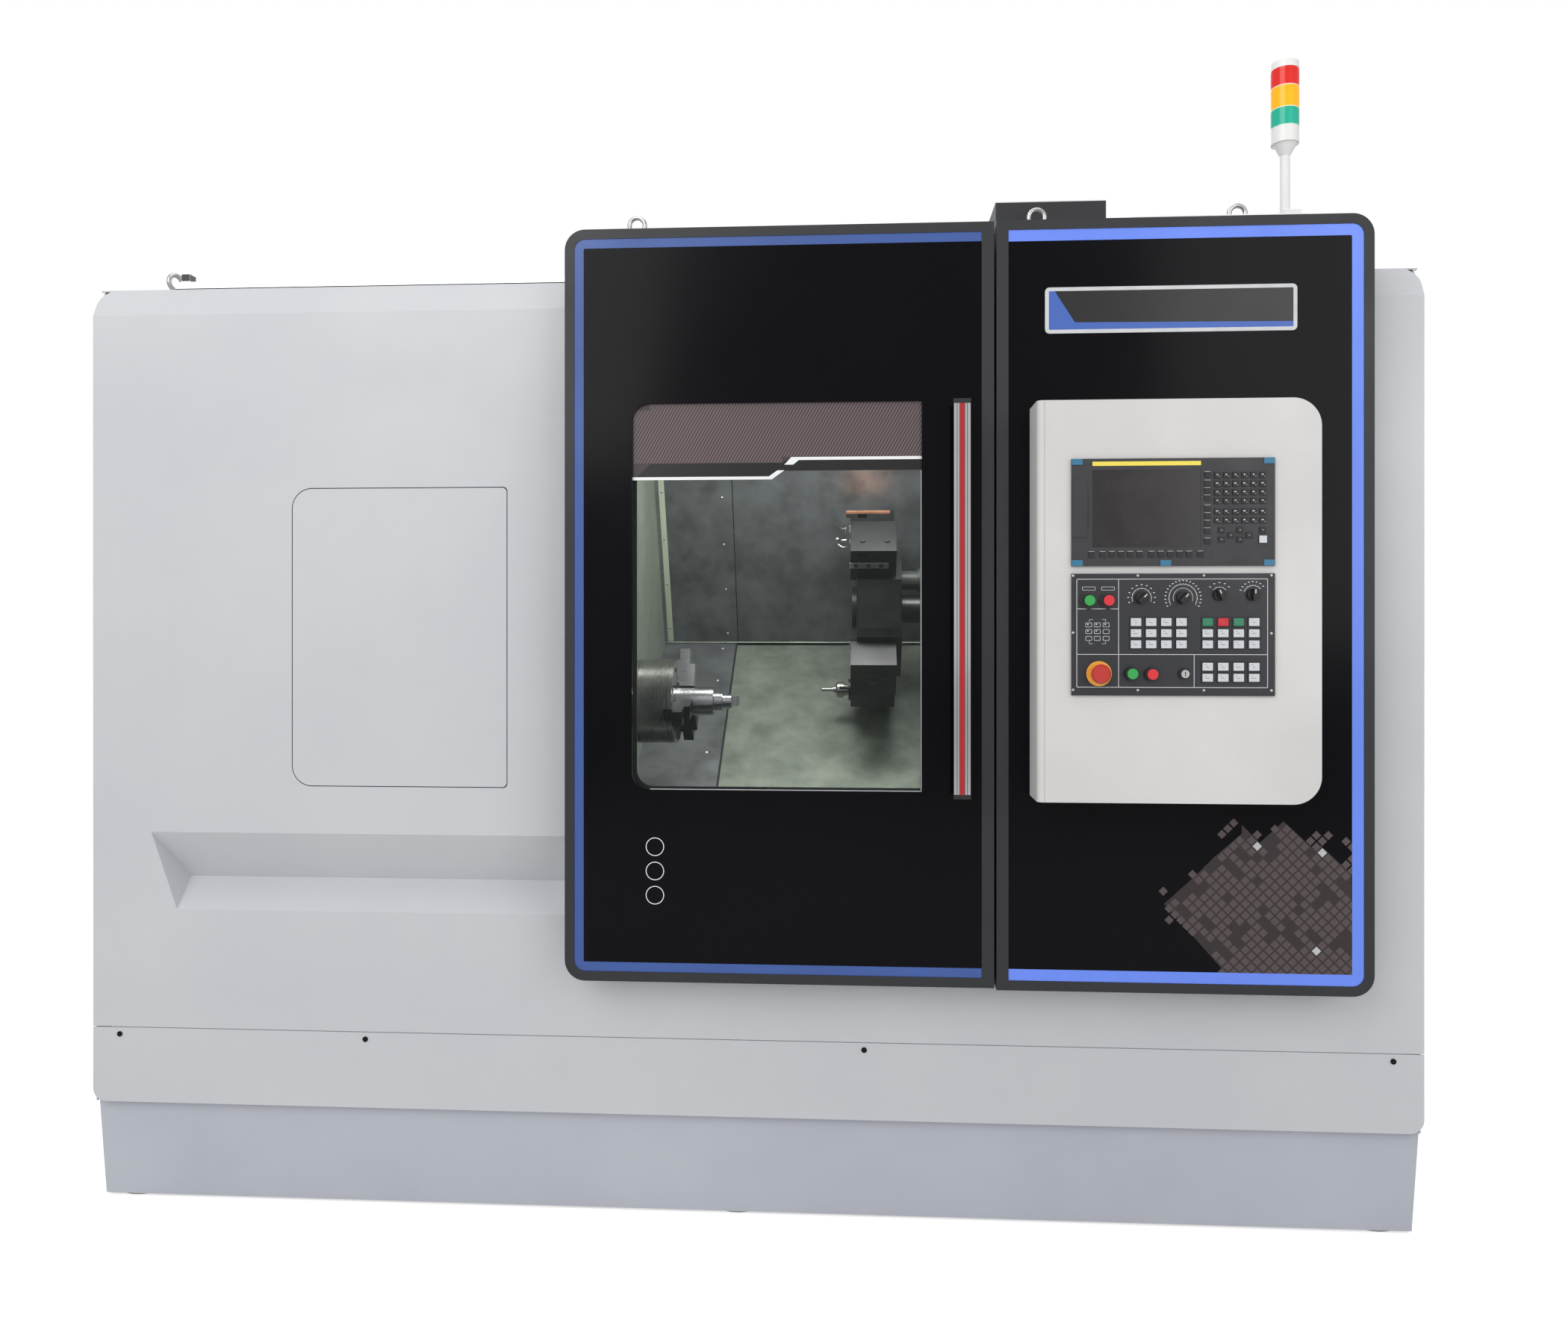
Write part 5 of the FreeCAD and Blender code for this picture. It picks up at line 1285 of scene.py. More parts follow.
    def _plate_keys(self) -> None:
        """Pale, green and red caps over the dark rims of the operator keys."""
        y = self.plate.near - 2.4 * MM
        colours = {(0, 0): KEY_GREEN, (1, 0): KEY_RED, (2, 0): KEY_GREEN}
        shapers = {KEY_WHITE: Shaper(), KEY_GREEN: Shaper(), KEY_RED: Shaper()}
        marks = Shaper()
        blocks = ((126.8, 29.85, 97.4, 22.3, 3, {}), (267.8, 30.3, 97.4, 22.3, 3, colours),
                  (267.8, 30.3, 186.6, 22.0, 2, {}))
        for left, pitch, top, drop, rows, tones in blocks:
            for i in range(4):
                for j in range(rows):
                    x, z = self.on_plate(left + pitch * i, top + drop * j)
                    shapers[tones.get((i, j), KEY_WHITE)].block(
                        (x - 10.4 * MM, y - 0.9 * MM, z - 8.0 * MM),
                        (x + 10.4 * MM, y + 1.2 * MM, z + 8.0 * MM))
                    wide = (3.0 + 1.2 * ((i + 2 * j) % 3)) * MM
                    marks.block((x - wide, y - 1.0 * MM, z - 1.2 * MM),
                                (x + wide * 0.6, y - 0.8 * MM, z - 0.2 * MM))
                    marks.block((x - 6.0 * MM, y - 1.0 * MM, z + 3.2 * MM),
                                (x - 2.5 * MM, y - 0.8 * MM, z + 4.0 * MM))
        for name, tone in (("white_key_caps", KEY_WHITE), ("green_key_caps", KEY_GREEN),
                           ("red_key_cap", KEY_RED)):
            shapers[tone].finish(name, tone, self.body, "key_rubber", 1.2 * MM)
        marks.finish("key_cap_marks", GREY_INK_AND_SHADE, self.body, "key_rubber")

    def _lamps(self) -> None:
        """Nine small outlined lamps with a bracket above and below."""
        y = self.plate.near
        outline, dots = Shaper(), Shaper()
        for i, right in enumerate((33.8, 50.7, 68.3)):
            for j, down in enumerate((103.1, 116.6, 130.2)):
                x, z = self.on_plate(right, down)
                band(rounded(x - 6.2 * MM, x + 6.2 * MM, z - 4.4 * MM, z + 4.4 * MM,
                             (1.5 * MM,) * 4, 3),
                     rounded(x - 5.6 * MM, x + 5.6 * MM, z - 3.8 * MM, z + 3.8 * MM,
                             (1.0 * MM,) * 4, 3), y - FILM, y, outline)
                if (i, j) in ((0, 0), (1, 0), (2, 0), (0, 1), (1, 1)):
                    dots.rod((x - 1.8 * MM, y, z + 1.2 * MM), (0, -1, 0), 1.5 * MM, 0.5 * MM,
                             sides=16)
        for down, turn in ((92.0, 1), (141.0, -1)):
            for side in (-1, 1):
                x, z = self.on_plate(51.0 + side * 9.0, down)
                outline.slab(stroke((x, z), (x + side * 7 * MM, z), 0.5 * MM), y - FILM, y)
                outline.slab(stroke((x + side * 7 * MM, z), (x + side * 7 * MM,
                                                            z - turn * 5 * MM), 0.5 * MM),
                             y - FILM, y)
        outline.finish("lamp_outlines", WHITE_INK, self.body, self.slot)
        dots.finish("lamp_dots", KEY_WHITE, self.body, "key_rubber")

    def _bezels(self) -> None:
        """Octagonal bezels of the power buttons, the stop ring and the lock's rose."""
        y = self.plate.near
        dark, orange, zinc = Shaper(), Shaper(), Shaper()
        for node in ("power_on", "power_off"):
            r = Region.of(node)
            dark.collar((r.mid_x, y, r.mid_z), (0, -1, 0), 18.5 * MM, 13.8 * MM, 4 * MM, 8)
        stop = Region.of("estop_button")
        orange.collar((stop.mid_x, y - 2.2 * MM, stop.mid_z), (0, -1, 0), 25.2 * MM, 14.5 * MM,
                      1.6 * MM, 48)
        lock = Region.of("key_switch")
        zinc.collar((lock.mid_x, y, lock.mid_z), (0, -1, 0), 10.2 * MM, 8.4 * MM, 3.4 * MM)
        keyway, labels = Shaper(), Shaper()
        # Painted shade: a black strip where the key slot opens in the lock.
        keyway.block((lock.mid_x - 0.9 * MM, lock.near - 0.2 * MM, lock.mid_z - 4.5 * MM),
                     (lock.mid_x + 0.9 * MM, lock.near + 0.5 * MM, lock.mid_z + 4.5 * MM))
        keyway.finish("lock_keyway_painted_shade", BLACK_FILM_AND_SHADE, "machine", "black_plastic")
        for node in ("power_on", "power_off"):
            r = Region.of(node)
            outer = rounded(r.mid_x - 13 * MM, r.mid_x + 13 * MM, r.mid_z + 20.5 * MM,
                            r.mid_z + 27.5 * MM, (1.6 * MM,) * 4, 3)
            inner = rounded(r.mid_x - 12.4 * MM, r.mid_x + 12.4 * MM, r.mid_z + 21.1 * MM,
                            r.mid_z + 26.9 * MM, (1.1 * MM,) * 4, 3)
            band(outer, inner, y - FILM, y, labels)
        labels.finish("power_labels", WHITE_INK, self.body, self.slot)
        dark.finish("power_bezels", GREY_ABS, self.body, "black_plastic", 1.0 * MM)
        orange.finish("stop_ring_face", STOP_ORANGE, self.body, "collar_plastic", 0.5 * MM)
        zinc.finish("lock_rose", ZINC, self.body, "bright_steel", 0.5 * MM)

    def _dials(self) -> None:
        """Printed arcs and ticks round the four knobs."""
        y = self.plate.near
        shaper = Shaper()
        dials = ((138.5, 49.0, 19.0, -110, 110, 10, 22.5), (220.0, 49.0, 27.5, -118, 118, 20, 31.0),
                 (291.5, 42.5, 15.0, -50, 50, 4, 20.0), (357.0, 42.5, 18.0, -70, 50, 7, 22.0))
        for right, down, radius, start, end, ticks, reach in dials:
            x, z = self.on_plate(right, down)
            shaper.arc((x, z), radius * MM, 0.7 * MM, start, end, y - FILM, y)
            for k in range(ticks + 1):
                angle = math.radians(start + (end - start) * k / ticks)
                spin = Vector((math.sin(angle), math.cos(angle)))
                inner, outer = Vector((x, z)) + spin * radius * MM, Vector((x, z)) + spin * (
                    radius + 2.2) * MM
                shaper.slab(stroke(tuple(inner), tuple(outer), 0.5 * MM), y - FILM, y)
                mark = Vector((x, z)) + spin * (reach + 4.0) * MM
                shaper.slab(stroke((mark[0] - 1.6 * MM, mark[1]), (mark[0] + 1.6 * MM, mark[1]),
                                   1.4 * MM), y - FILM, y)
        x, z = self.on_plate(220.0, 49.0)
        shaper.arc((x, z), 19.5 * MM, 0.6 * MM, -110, 110, y - FILM, y)
        shaper.finish("dial_marks", WHITE_INK, self.body, self.slot)

    def _pointers(self) -> None:
        """A white line on each knob's grip."""
        turns = {"mode_knob": 45.0, "rapid_knob": 40.0, "feed_knob": -25.0, "spindle_knob": 0.0}
        for node, angle in turns.items():
            r = Region.of(node)
            spot = (r.mid_x, r.near, r.mid_z)
            turn = (Matrix.Translation(spot) @ Matrix.Rotation(math.radians(angle), 4, "Y"))
            shaper = Shaper()
            shaper.block((-0.8 * MM, -0.15 * MM, 2.0 * MM), (0.8 * MM, 0.3 * MM, 10.0 * MM), turn)
            shaper.finish(f"{node}_pointer", WHITE_INK, f"{node}_body", "black_plastic")

    def _console_bend_shade(self) -> None:
        """Painted shade: a narrow grey line on the console's face where its left side folds back.
        """
        c = Region.of("console_housing")
        shaper = Shaper()
        shaper.block((c.left + 14.0 * MM, c.near - 0.12 * MM, c.low + 1 * MM),
                     (c.left + 14.6 * MM, c.near, c.high - 1 * MM))
        shaper.finish("console_bend_painted_shade", GREY_INK_AND_SHADE, self.body, "console_paint")


@dataclass
class TopFittings:
    """Signal tower, box, rail and stop on the roof."""

    rib_pitch: float = 2.6 * MM
    rib_rise: float = 0.35 * MM
    gutter: Pair = (0.843, 1.200)

    def build(self) -> None:
        """Dresses what stands on the roof and adds the lens ribs."""
        dress(WHITE_ABS_AND_HIGHLIGHT, "tower_pole", "tower_cap")
        dress(LENS_RED, "tower_lens_red")
        dress(LENS_AMBER, "tower_lens_amber")
        dress(LENS_GREEN, "tower_lens_green")
        dress(FRAME_PAINT, "top_box")
        dress(ZINC, "door_rail")
        for node, finish, slot in (("tower_lens_red", LENS_RED, "red_plastic"),
                                   ("tower_lens_amber", LENS_AMBER, "amber_plastic"),
                                   ("tower_lens_green", LENS_GREEN, "green_plastic")):
            self._ribs(node, finish, slot)
        self._joints()
        self._stop_pad()
        self._edges()

    def _ribs(self, node: str, finish: Finish, slot: str) -> None:
        """Rings of fine ribs inside the lens wall.

        Args:
            node: the lens.
            finish: its plastic.
            slot: its material slot.
        """
        lens = Region.of(node)
        radius = (lens.right - lens.left) / 2
        shaper = Shaper()
        z = lens.low + 5 * MM
        while z < lens.high - 4 * MM:
            shaper.collar((lens.mid_x, lens.mid_y, z), (0, 0, 1), radius + self.rib_rise,
                          radius - 0.5 * MM, self.rib_pitch * 0.5, 48)
            z += self.rib_pitch
        shaper.finish(f"{node}_ribs", finish, "machine", slot)

    def _joints(self) -> None:
        """Joints between the lamp modules, in white plastic."""
        shaper = Shaper()
        for node in ("tower_lens_red", "tower_lens_amber", "tower_lens_green"):
            lens = Region.of(node)
            radius = (lens.right - lens.left) / 2
            shaper.collar((lens.mid_x, lens.mid_y, lens.low - 0.6 * MM), (0, 0, 1),
                          radius + 0.3 * MM, radius - 1 * MM, 1.6 * MM, 48)
        shaper.finish("tower_joints", WHITE_ABS_AND_HIGHLIGHT, "machine", "black_plastic")

    def _stop_pad(self) -> None:
        """Black rubber round the end stop of the rail."""
        rail = Region.of("door_rail")
        shaper = Shaper()
        shaper.block((rail.left + 14.5 * MM, rail.near - 0.5 * MM, rail.low + 19 * MM),
                     (rail.left + 35.5 * MM, rail.far + 0.5 * MM, rail.high + 0.5 * MM))
        shaper.finish("rail_stop_pad", BLACK_ABS, "machine", "black_plastic", 2 * MM)

    def _edges(self) -> None:
        """Painted highlight along the box's top edge, drip gutter over the fixed panel and the
        shadow gap of the rail.
        """
        b, m, r = Region.of("top_box"), Region.of("module_frame"), Region.of("door_rail")
        pale, dark = Shaper(), Shaper()
        # Painted highlight: a pale strip along the top front edge of the dark box.
        pale.block((b.left, b.near - 0.4 * MM, b.high - 2 * MM),
                   (b.right, b.near + 0.2 * MM, b.high + 0.3 * MM))
        pale.block((self.gutter[0], m.near + 1 * MM, m.high),
                   (self.gutter[1], m.near + 5 * MM, m.high + 2.5 * MM))
        dark.block((r.left, r.near - 0.4 * MM, r.low + 0.2 * MM),
                   (r.right, r.near, r.low + 2.6 * MM))
        pale.finish("gutter_and_box_edge_highlight", WHITE_ABS_AND_HIGHLIGHT, "machine", "cover_paint")
        dark.finish("rail_shadow_strip", SEAL_AND_SHADE, "machine", "black_plastic")


@dataclass
class WorkingSpace:
    """The chamber behind the door: walls, sloped covers, chuck, turret and lamp."""

    slope: float = 35.0
    screw: float = 5.0 * MM
    block_top: float = 0.268
    clamped: tuple[int, ...] = (0, 1, 5, 7)

    def build(self) -> None:
        """Dresses the chamber and adds its small parts."""
        dress(PALE_GREEN_PAINT, "chuck_guard")
        dress(WET_SHEET, "back_wall")
        dress(FLOOR_SHEET, "saddle_way_cover", "middle_way_cover")
        dress(CASTING, "bed_casting", "headstock", "turret_housing", "saddle")
        dress(GROUND_STEEL, "z_rails", "chuck_jaw_1")
        dress(TURNED_STEEL, "spindle_shaft", "chuck_body", "live_tool")
        dress(BRIGHT_ALUMINIUM, "workpiece")
        dress(DARK_STEEL_AND_SHADE, "turret_disc", "tool_holders", "chuck_jaw_2", "chuck_jaw_3")
        self._fold_places()
        self._wall_trim()
        self._wall_screws()
        self._chuck_trim()
        self._turret_trim()
        self._lamp()

    def _fold_places(self) -> None:
        """Works out the slope's lines from the chuck and the sheets."""
        chuck = Region.of("chuck_body")
        self.axis_y, self.axis_z = chuck.mid_y, chuck.mid_z
        wall = Region.of("back_wall")
        self.lean = math.radians(22.0)
        self.tilt = math.radians(self.slope)
        self.fold_y = self.axis_y + 0.634 * math.cos(self.tilt) + 0.28 * math.sin(self.tilt)
        self.fold_z = self.axis_z + 0.634 * math.sin(self.tilt) - 0.28 * math.cos(self.tilt)
        self.left = wall.left
        self.right = wall.right

    def wall_place(self, up: float, out: float = 0.0) -> Pair:
        """Y and z of a place on the back wall.

        Args:
            up: distance up from the fold.
            out: distance off the wall, towards the operator.

        Returns:
            The place's y and z.
        """
        y = self.fold_y - up * math.sin(self.lean) - out * math.cos(self.lean)
        z = self.fold_z + up * math.cos(self.lean) - out * math.sin(self.lean)
        return y, z

    def floor_place(self, down: float, out: float = 0.0) -> Pair:
        """Y and z of a place on the sloped floor.

        Args:
            down: distance down from the fold.
            out: distance off the floor.

        Returns:
            The place's y and z.
        """
        y = self.fold_y - down * math.cos(self.tilt) - out * math.sin(self.tilt)
        z = self.fold_z - down * math.sin(self.tilt) + out * math.cos(self.tilt)
        return y, z

    def _strip(self, shaper: Shaper, x0: float, x1: float, places: list[Pair]) -> None:
        """Adds a prism along X from its outline seen from the side.

        Args:
            shaper: mesh that takes it.
            x0: left end.
            x1: right end.
            places: y and z of its corners.
        """
        near = [shaper.mesh.verts.new((x0, y, z)) for y, z in places]
        far = [shaper.mesh.verts.new((x1, y, z)) for y, z in places]
        count = len(places)
        made = [shaper.mesh.faces.new(near), shaper.mesh.faces.new(far[::-1])]
        for i in range(count):
            j = (i + 1) % count
            made.append(shaper.mesh.faces.new((near[i], far[i], far[j], near[j])))
        bmesh.ops.recalc_face_normals(shaper.mesh, faces=made)

    def _wall_trim(self) -> None:
        """Overlapping sheet and its dark joint on the wall, the corner strips and the fold."""
        joint_x = Region.of("back_wall").left + 0.227
        top = 0.79
        sheet, dark, pale, corner = Shaper(), Shaper(), Shaper(), Shaper()
        flange = Shaper()
        self._strip(sheet, self.left + 1 * MM, joint_x,
                    [self.wall_place(0.003, 0), self.wall_place(top, 0),
                     self.wall_place(top, 0.002), self.wall_place(0.003, 0.002)])
        self._strip(dark, joint_x, joint_x + 3 * MM,
                    [self.wall_place(0.003, 0), self.wall_place(top, 0),
                     self.wall_place(top, 0.0012), self.wall_place(0.003, 0.0012)])
        self._strip(pale, self.left + 1 * MM, self.right - 1 * MM,
                    [self.wall_place(-0.001, 0.0), self.wall_place(0.004, 0.0),
                     self.wall_place(0.004, 0.003), self.floor_place(0.004, 0.003)])
        for shaper, x0, x1, rise in ((corner, self.left, self.left + 0.010, 0.008),
                                     (flange, self.left + 0.010, self.left + 0.027, 0.005),
                                     (corner, self.right - 0.016, self.right, 0.006)):
            self._strip(shaper, x0, x1,
                        [self.wall_place(0.004, 0.002), self.wall_place(top, 0.002),
                         self.wall_place(top, rise), self.wall_place(0.012, rise)])
        flange.finish("guard_flange", FLANGE_PAINT, "machine", "inner_paint", 0.8 * MM)
        sheet.finish("wall_fixed_sheet", WET_SHEET, "machine", "inner_paint")
        dark.finish("wall_joint", SEAL_AND_SHADE, "machine", "black_plastic")
        pale.finish("fold_bead", FLOOR_SHEET, "machine", "inner_paint")
        corner.finish("wall_corner_strip", GROUND_STEEL, "machine", "bright_steel", 1 * MM)
        wiper = Shaper()
        self._strip(wiper, joint_x - 5 * MM, joint_x + 0 * MM,
                    [self.floor_place(0.008, 0), self.floor_place(0.975, 0),
                     self.floor_place(0.975, 0.003), self.floor_place(0.008, 0.003)])
        wiper.finish("floor_wiper", SEAL_AND_SHADE, "machine", "key_rubber", 0.8 * MM)

    def _wall_screws(self) -> None:
        """Rows of screw heads along the sheet joint and the corner."""
        joint_x = Region.of("back_wall").left + 0.227
        shaper = Shaper()
        wall_dir = (0.0, -math.cos(self.lean), -math.sin(self.lean))
        floor_dir = (0.0, -math.sin(self.tilt), math.cos(self.tilt))
        for step in range(6):
            y, z = self.wall_place(0.03 + 0.145 * step, 0.002)
            shaper.dome((joint_x - 0.03, y, z), wall_dir, self.screw, 2.2 * MM)
            y, z = self.wall_place(0.05 + 0.145 * step, 0.005)
            shaper.dome((self.left + 0.0185, y, z), wall_dir, self.screw * 0.7, 1.6 * MM)
        for step in range(6):
            y, z = self.floor_place(0.03 + 0.16 * step, 0.0)
            shaper.dome((joint_x - 0.045, y, z), floor_dir, self.screw, 2.2 * MM)
        for step in range(3):
            y, z = self.wall_place(0.28 + 0.16 * step, 0.0)
            shaper.dome((self.right - 0.06, y, z), wall_dir, 9 * MM, 5 * MM)
        shaper.finish("chamber_screws", ZINC, "machine", "zinc_steel")

    def _chuck_trim(self) -> None:
        """Dark rings of painted shade in the chuck's grooves, and the chuck's face screws."""
        chuck = Region.of("chuck_body")
        grooves, screws = Shaper(), Shaper()
        radius = (chuck.high - chuck.low) / 2
        # Painted shade: dark steel rings where the two grooves run round the chuck.
        for back in (0.012, 0.088):
            grooves.collar((chuck.right - back, self.axis_y, self.axis_z), (1, 0, 0),
                           radius + 0.25 * MM, radius - 1 * MM, 1.2 * MM, 72)
        for k in range(3):
            for spread in (-24.0, 24.0):
                angle = math.radians(45.0 + 120 * k + spread)
                y = self.axis_y - 0.086 * math.sin(angle)
                z = self.axis_z + 0.086 * math.cos(angle)
                screws.collar((chuck.right - 0.2 * MM, y, z), (1, 0, 0), 7 * MM, 3.2 * MM,
                              1.4 * MM, 24)
        grooves.finish("chuck_groove_painted_shade", DARK_STEEL_AND_SHADE, "spindle", "dark_steel")
        screws.finish("chuck_screws", DARK_STEEL_AND_SHADE, "spindle", "dark_steel", 0.3 * MM)

    def _station(self, station: int) -> Matrix:
        """The turn that carries a part from the top station to another.

        Args:
            station: steps of 45 degrees towards the operator.

        Returns:
            The transform.
        """
        centre = Vector((0.0, self.turret_y, self.turret_z))
        turn = Matrix.Rotation(math.radians(45.0 * station), 4, "X")
        return Matrix.Translation(centre) @ turn @ Matrix.Translation(-centre)

    def _turret_trim(self) -> None:
        """Clamp plates, screws, coolant pipes and nozzles on the tool blocks."""
        disc = Region.of("turret_disc")
        self.turret_y = self.axis_y + 0.410 * math.cos(self.tilt)
        self.turret_z = self.axis_z + 0.410 * math.sin(self.tilt)
        left, right = disc.left - 16 * MM, disc.left + 103 * MM
        copper, clamps, screws, pipes = Shaper(), Shaper(), Shaper(), Shaper()
        y, z = self.turret_y, self.turret_z + self.block_top
        copper.block((left - 0.4 * MM, y - 59.9 * MM, z - 8.8 * MM),
                     (right + 0.4 * MM, y + 59.9 * MM, z + 0.35 * MM))
        clamps.block((left - 2.5 * MM, y - 50 * MM, z - 62 * MM), (left, y + 50 * MM, z - 44 * MM))
        for station in self.clamped:
            turn = self._station(station)
            clamps.block((left + 8 * MM, y - 61.5 * MM, z - 60 * MM),
                         (left + 111 * MM, y - 59.4 * MM, z - 40 * MM), turn)
            for along in (26, 59, 92):
                spot = turn @ Vector((left + along * MM, y - 61.5 * MM, z - 50 * MM))
                out = turn.to_3x3() @ Vector((0, -1, 0))
                screws.collar(tuple(spot), tuple(out), 6 * MM, 2.6 * MM, 1.0 * MM, 20)
        for station, side, ball in ((0, 34, False), (1, 30, True), (7, -30, False)):
            turn = self._station(station)
            bends = [(1, 0, -40), (-12, 0, -42), (-24, -4, -34)]
            spots = [turn @ Vector((left + dx * MM, y + (side + dy) * MM, z + dz * MM))
                     for dx, dy, dz in bends]
            pipes.tube([tuple(spot) for spot in spots], 2.8 * MM)
            if ball:
                aim = (spots[2] - spots[1]).normalized()
                pipes.dome(tuple(spots[2] - aim * 1 * MM), tuple(aim), 5.5 * MM, 5.5 * MM)
                pipes.dome(tuple(spots[2] - aim * 1 * MM), tuple(-aim), 5.5 * MM, 5.5 * MM)
        copper.finish("turret_bronze_tops", COPPER_PLATE, "turret", "bright_steel", 1.0 * MM)
        clamps.finish("turret_clamp_plates", GROUND_STEEL, "turret", "bright_steel", 1.0 * MM)
        screws.finish("turret_screws", DARK_STEEL_AND_SHADE, "turret", "bright_steel", 0.3 * MM)
        pipes.finish("turret_coolant_pipes", ZINC, "turret", "bright_steel")

    def _lamp(self) -> None:
        """The chamber lamp: a tube lamp under the roof, and the light it gives."""
        y, z = self.wall_place(0.76, 0.06)
        housing, glass = Shaper(), Shaper()
        housing.block((0.05, y - 20 * MM, z - 5 * MM), (0.65, y + 25 * MM, z + 25 * MM))
        glass.block((0.07, y - 16 * MM, z - 12 * MM), (0.63, y + 20 * MM, z - 5 * MM))
        housing.finish("chamber_lamp_case", WHITE_ABS_AND_HIGHLIGHT, "machine", "cover_paint", 4 * MM)
        glass.finish("chamber_lamp_glass", LAMP_GLASS, "machine", "cover_paint", 2 * MM)
        data = bpy.data.lights.new("chamber_light", "AREA")
        data.shape = "RECTANGLE"
        data.size, data.size_y = 0.8, 0.25
        data.energy = 16.0
        data.color = (0.97, 1.0, 0.95)
        lamp = bpy.data.objects.new("chamber_light", data)
        lamp.location = (0.2, self.axis_y - 0.08, self.axis_z + 0.82)
        lamp.rotation_euler = (math.radians(12), 0, 0)
        bpy.context.scene.collection.objects.link(lamp)


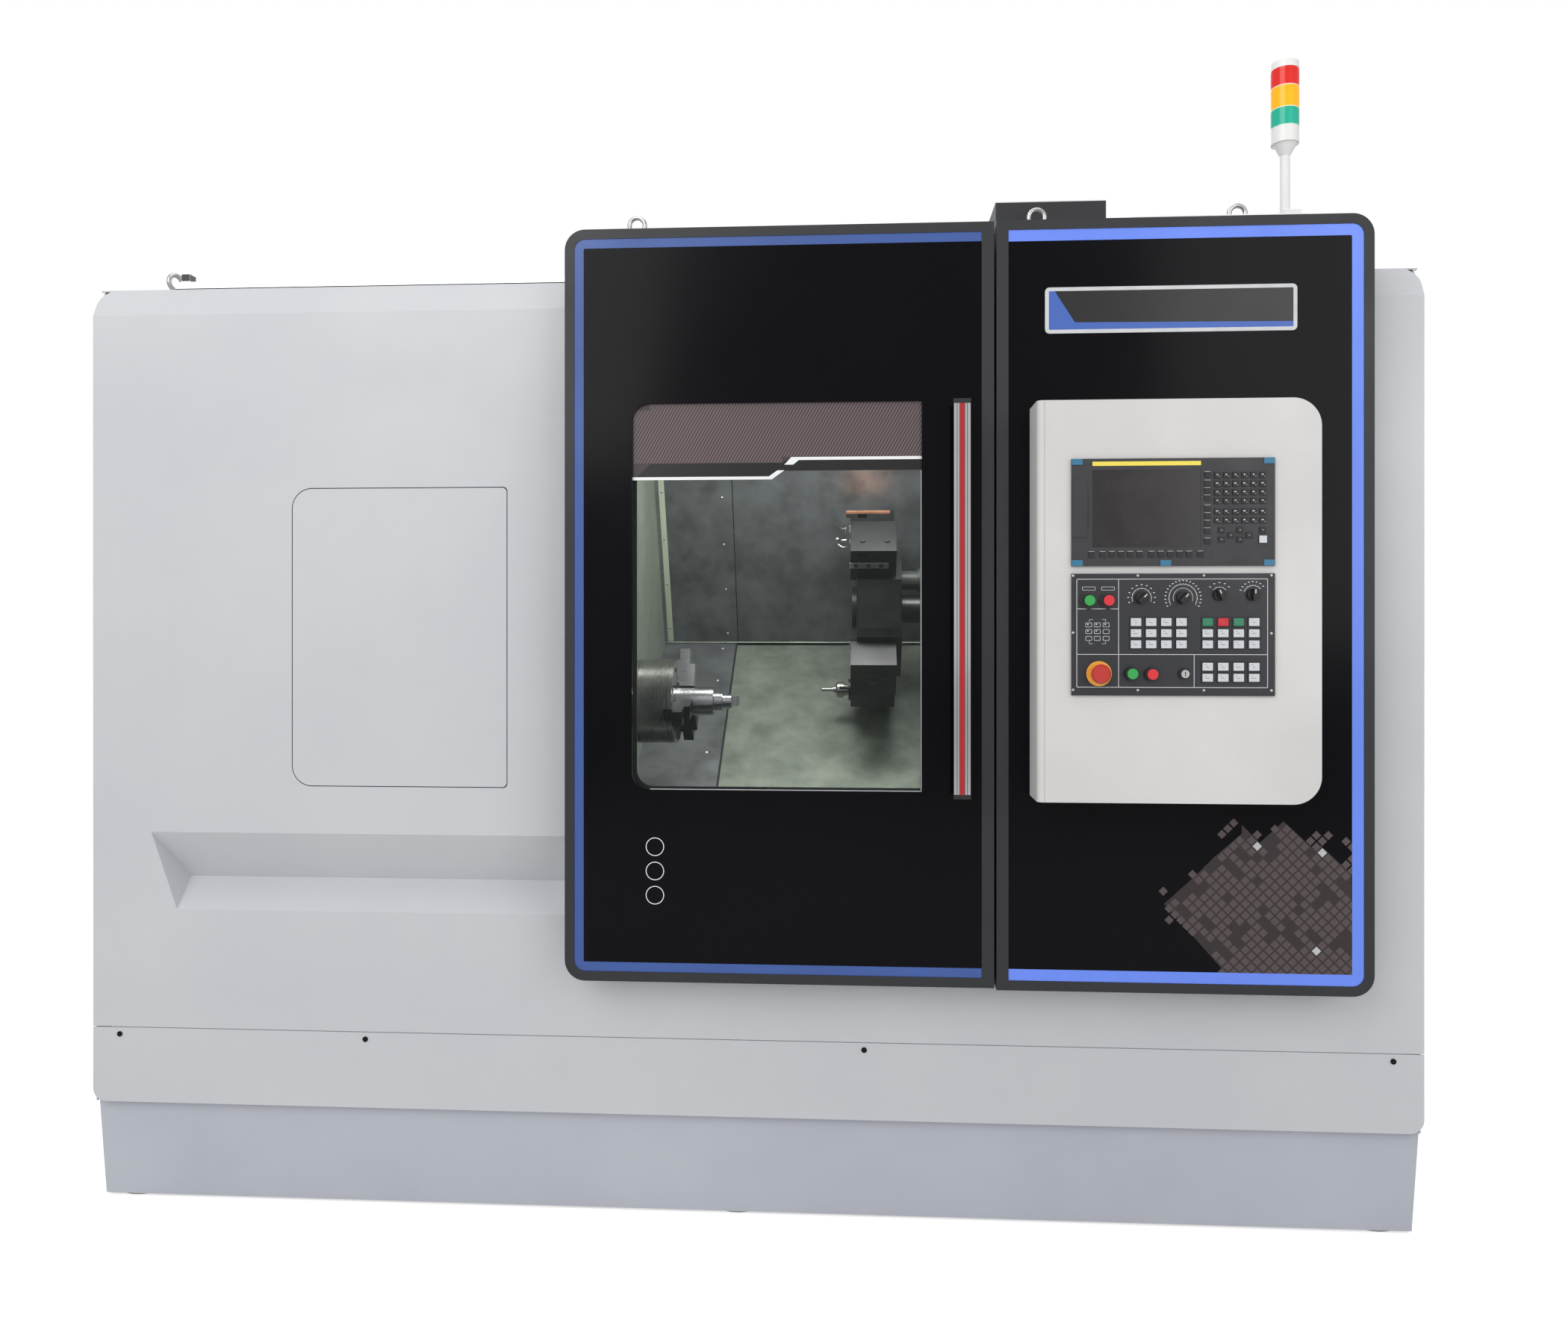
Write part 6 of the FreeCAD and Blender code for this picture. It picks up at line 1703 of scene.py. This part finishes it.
@dataclass
class SidesAndBack:
    """Louvres, door seams, hinges, latches and cable glands on the ends and the back."""

    blade_long: float = 0.26
    blade_high: float = 11.0 * MM
    pitch: float = 28.0 * MM
    blades: int = 9
    proud: float = 4.0 * MM
    line: float = 3.0 * MM

    def build(self) -> None:
        """Dresses the cabinet and adds the parts of the three plain faces."""
        dress(COVER_PAINT, "rear_cabinet")
        self.ends, self.cabinet = Region.of("end_covers"), Region.of("rear_cabinet")
        self.rear = Region.of("rear_cover")
        self.vents, self.dark, self.metal = Shaper(), Shaper(), Shaper()
        for side in (-1, 1):
            self._end(side)
        self._cabinet_face()
        self._rear_face()
        self.vents.finish("louvre_blades", COVER_PAINT, "machine", "cover_paint", 0.8 * MM)
        # Dark seams round the panels, with the painted shade of the louvre slots.
        self.dark.finish("side_and_back_seams_and_slot_shade", SEAL_AND_SHADE, "machine", "black_plastic")
        self.metal.finish("hinges_and_glands", BLACK_ABS, "machine", "black_plastic", 0.6 * MM)

    def _place(self, shaper: Shaper, face: float, out: float, along: Pair, high: Pair,
               facing_x: bool) -> None:
        """Adds a block that stands on an end face or on a back face.

        Args:
            shaper: mesh that takes it.
            face: x or y of the face.
            out: how far it stands off, signed along the axis.
            along: its two ends along the face.
            high: its two heights.
            facing_x: True on an end, False on the back.
        """
        first, last = sorted((face, face + out))
        if facing_x:
            shaper.block((first, along[0], high[0]), (last, along[1], high[1]))
        else:
            shaper.block((along[0], first, high[0]), (along[1], last, high[1]))

    def _louvres(self, face: float, sign: int, middle: float, low: float,
                 facing_x: bool) -> None:
        """Adds one field of louvres, each a blade over a dark strip of painted shade where its slot
        opens.

        Args:
            face: x or y of the face.
            sign: 1 or -1, the way the face looks.
            middle: middle of the field along the face.
            low: height of its lowest slot.
            facing_x: True on an end, False on the back.
        """
        along = (middle - self.blade_long / 2, middle + self.blade_long / 2)
        for k in range(self.blades):
            z = low + k * self.pitch
            self._place(self.vents, face, sign * self.proud, along,
                        (z + 5 * MM, z + 5 * MM + self.blade_high), facing_x)
            # Painted shade: a dark strip in the slot under each blade.
            self._place(self.dark, face, sign * 0.4 * MM, along, (z, z + 5 * MM), facing_x)

    def _outline(self, face: float, sign: int, along: Pair, high: Pair, facing_x: bool) -> None:
        """Adds the seam of a panel, with two hinges and a latch.

        Args:
            face: x or y of the face.
            sign: 1 or -1, the way the face looks.
            along: the panel's two ends along the face.
            high: its two heights.
            facing_x: True on an end, False on the back.
        """
        out, wide = sign * 0.4 * MM, self.line
        for a, b in (((along[0], along[1]), (high[0], high[0] + wide)),
                     ((along[0], along[1]), (high[1] - wide, high[1])),
                     ((along[0], along[0] + wide), high), ((along[1] - wide, along[1]), high)):
            self._place(self.dark, face, out, a, b, facing_x)
        for z in (high[0] + 0.10, high[1] - 0.18):
            self._place(self.metal, face, sign * 5 * MM, (along[0] - 7 * MM, along[0] + 9 * MM),
                        (z, z + 0.08), facing_x)
        middle = (high[0] + high[1]) / 2
        self._place(self.metal, face, sign * 5 * MM, (along[1] - 48 * MM, along[1] - 26 * MM),
                    (middle - 0.055, middle + 0.055), facing_x)

    def _end(self, side: int) -> None:
        """Adds a service panel, louvres and glands to one end.

        Args:
            side: -1 for the left end, 1 for the right end.
        """
        face = self.ends.left if side < 0 else self.ends.right
        middle = self.ends.mid_y + 0.12
        self._outline(face, side, (middle - 0.34, middle + 0.34), (0.86, 1.78), True)
        self._louvres(face, side, middle, 1.42, True)
        self._louvres(face, side, middle, 0.45, True)
        for k in range(3):
            self.metal.dome((face, middle + 0.22 + 0.05 * k, 0.50), (side, 0, 0), 15 * MM, 5.5 * MM)

    def _cabinet_face(self) -> None:
        """Adds louvres, hinges and a round switch to the electrical cabinet's door."""
        c = self.cabinet
        face = c.far - 8 * MM
        for x in (c.left + 0.36, c.left + 0.84):
            self._louvres(face, 1, x, c.low + 0.12, False)
            self._louvres(face, 1, x, c.high - 0.40, False)
        for z in (c.low + 0.20, c.mid_z, c.high - 0.28):
            self._place(self.metal, face, 6 * MM, (c.right - 30 * MM, c.right - 12 * MM),
                        (z, z + 0.09), False)
        self._place(self.metal, face, 2 * MM, (c.left + 0.15, c.left + 0.22),
                    (c.mid_z - 0.035, c.mid_z + 0.035), False)
        self.metal.rod((c.left + 0.185, face, c.mid_z), (0, 1, 0), 24 * MM, 7 * MM, 21 * MM)

    def _rear_face(self) -> None:
        """Adds a panel, louvres and glands to the rear cover beside the cabinet."""
        face, left = self.rear.far, self.cabinet.right
        self._outline(face, 1, (left + 0.14, self.rear.right - 0.14), (0.62, 1.80), False)
        self._louvres(face, 1, (left + self.rear.right) / 2, 1.40, False)
        for k in range(4):
            self.metal.dome((left + 0.20 + 0.06 * k, face, 0.50), (0, 1, 0), 17 * MM, 6 * MM)


def main() -> None:
    """Builds the whole scene, one sub-assembly after another."""
    logging.basicConfig(level=logging.INFO, format="%(message)s")
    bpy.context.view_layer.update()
    for part in (Studio(), Covers(), SidesAndBack(), SlidingDoor(), FixedModule(), Console(),
                 TopFittings(), WorkingSpace()):
        LOG.info("building %s", type(part).__name__)
        part.build()


if __name__ == "__main__":
    main()
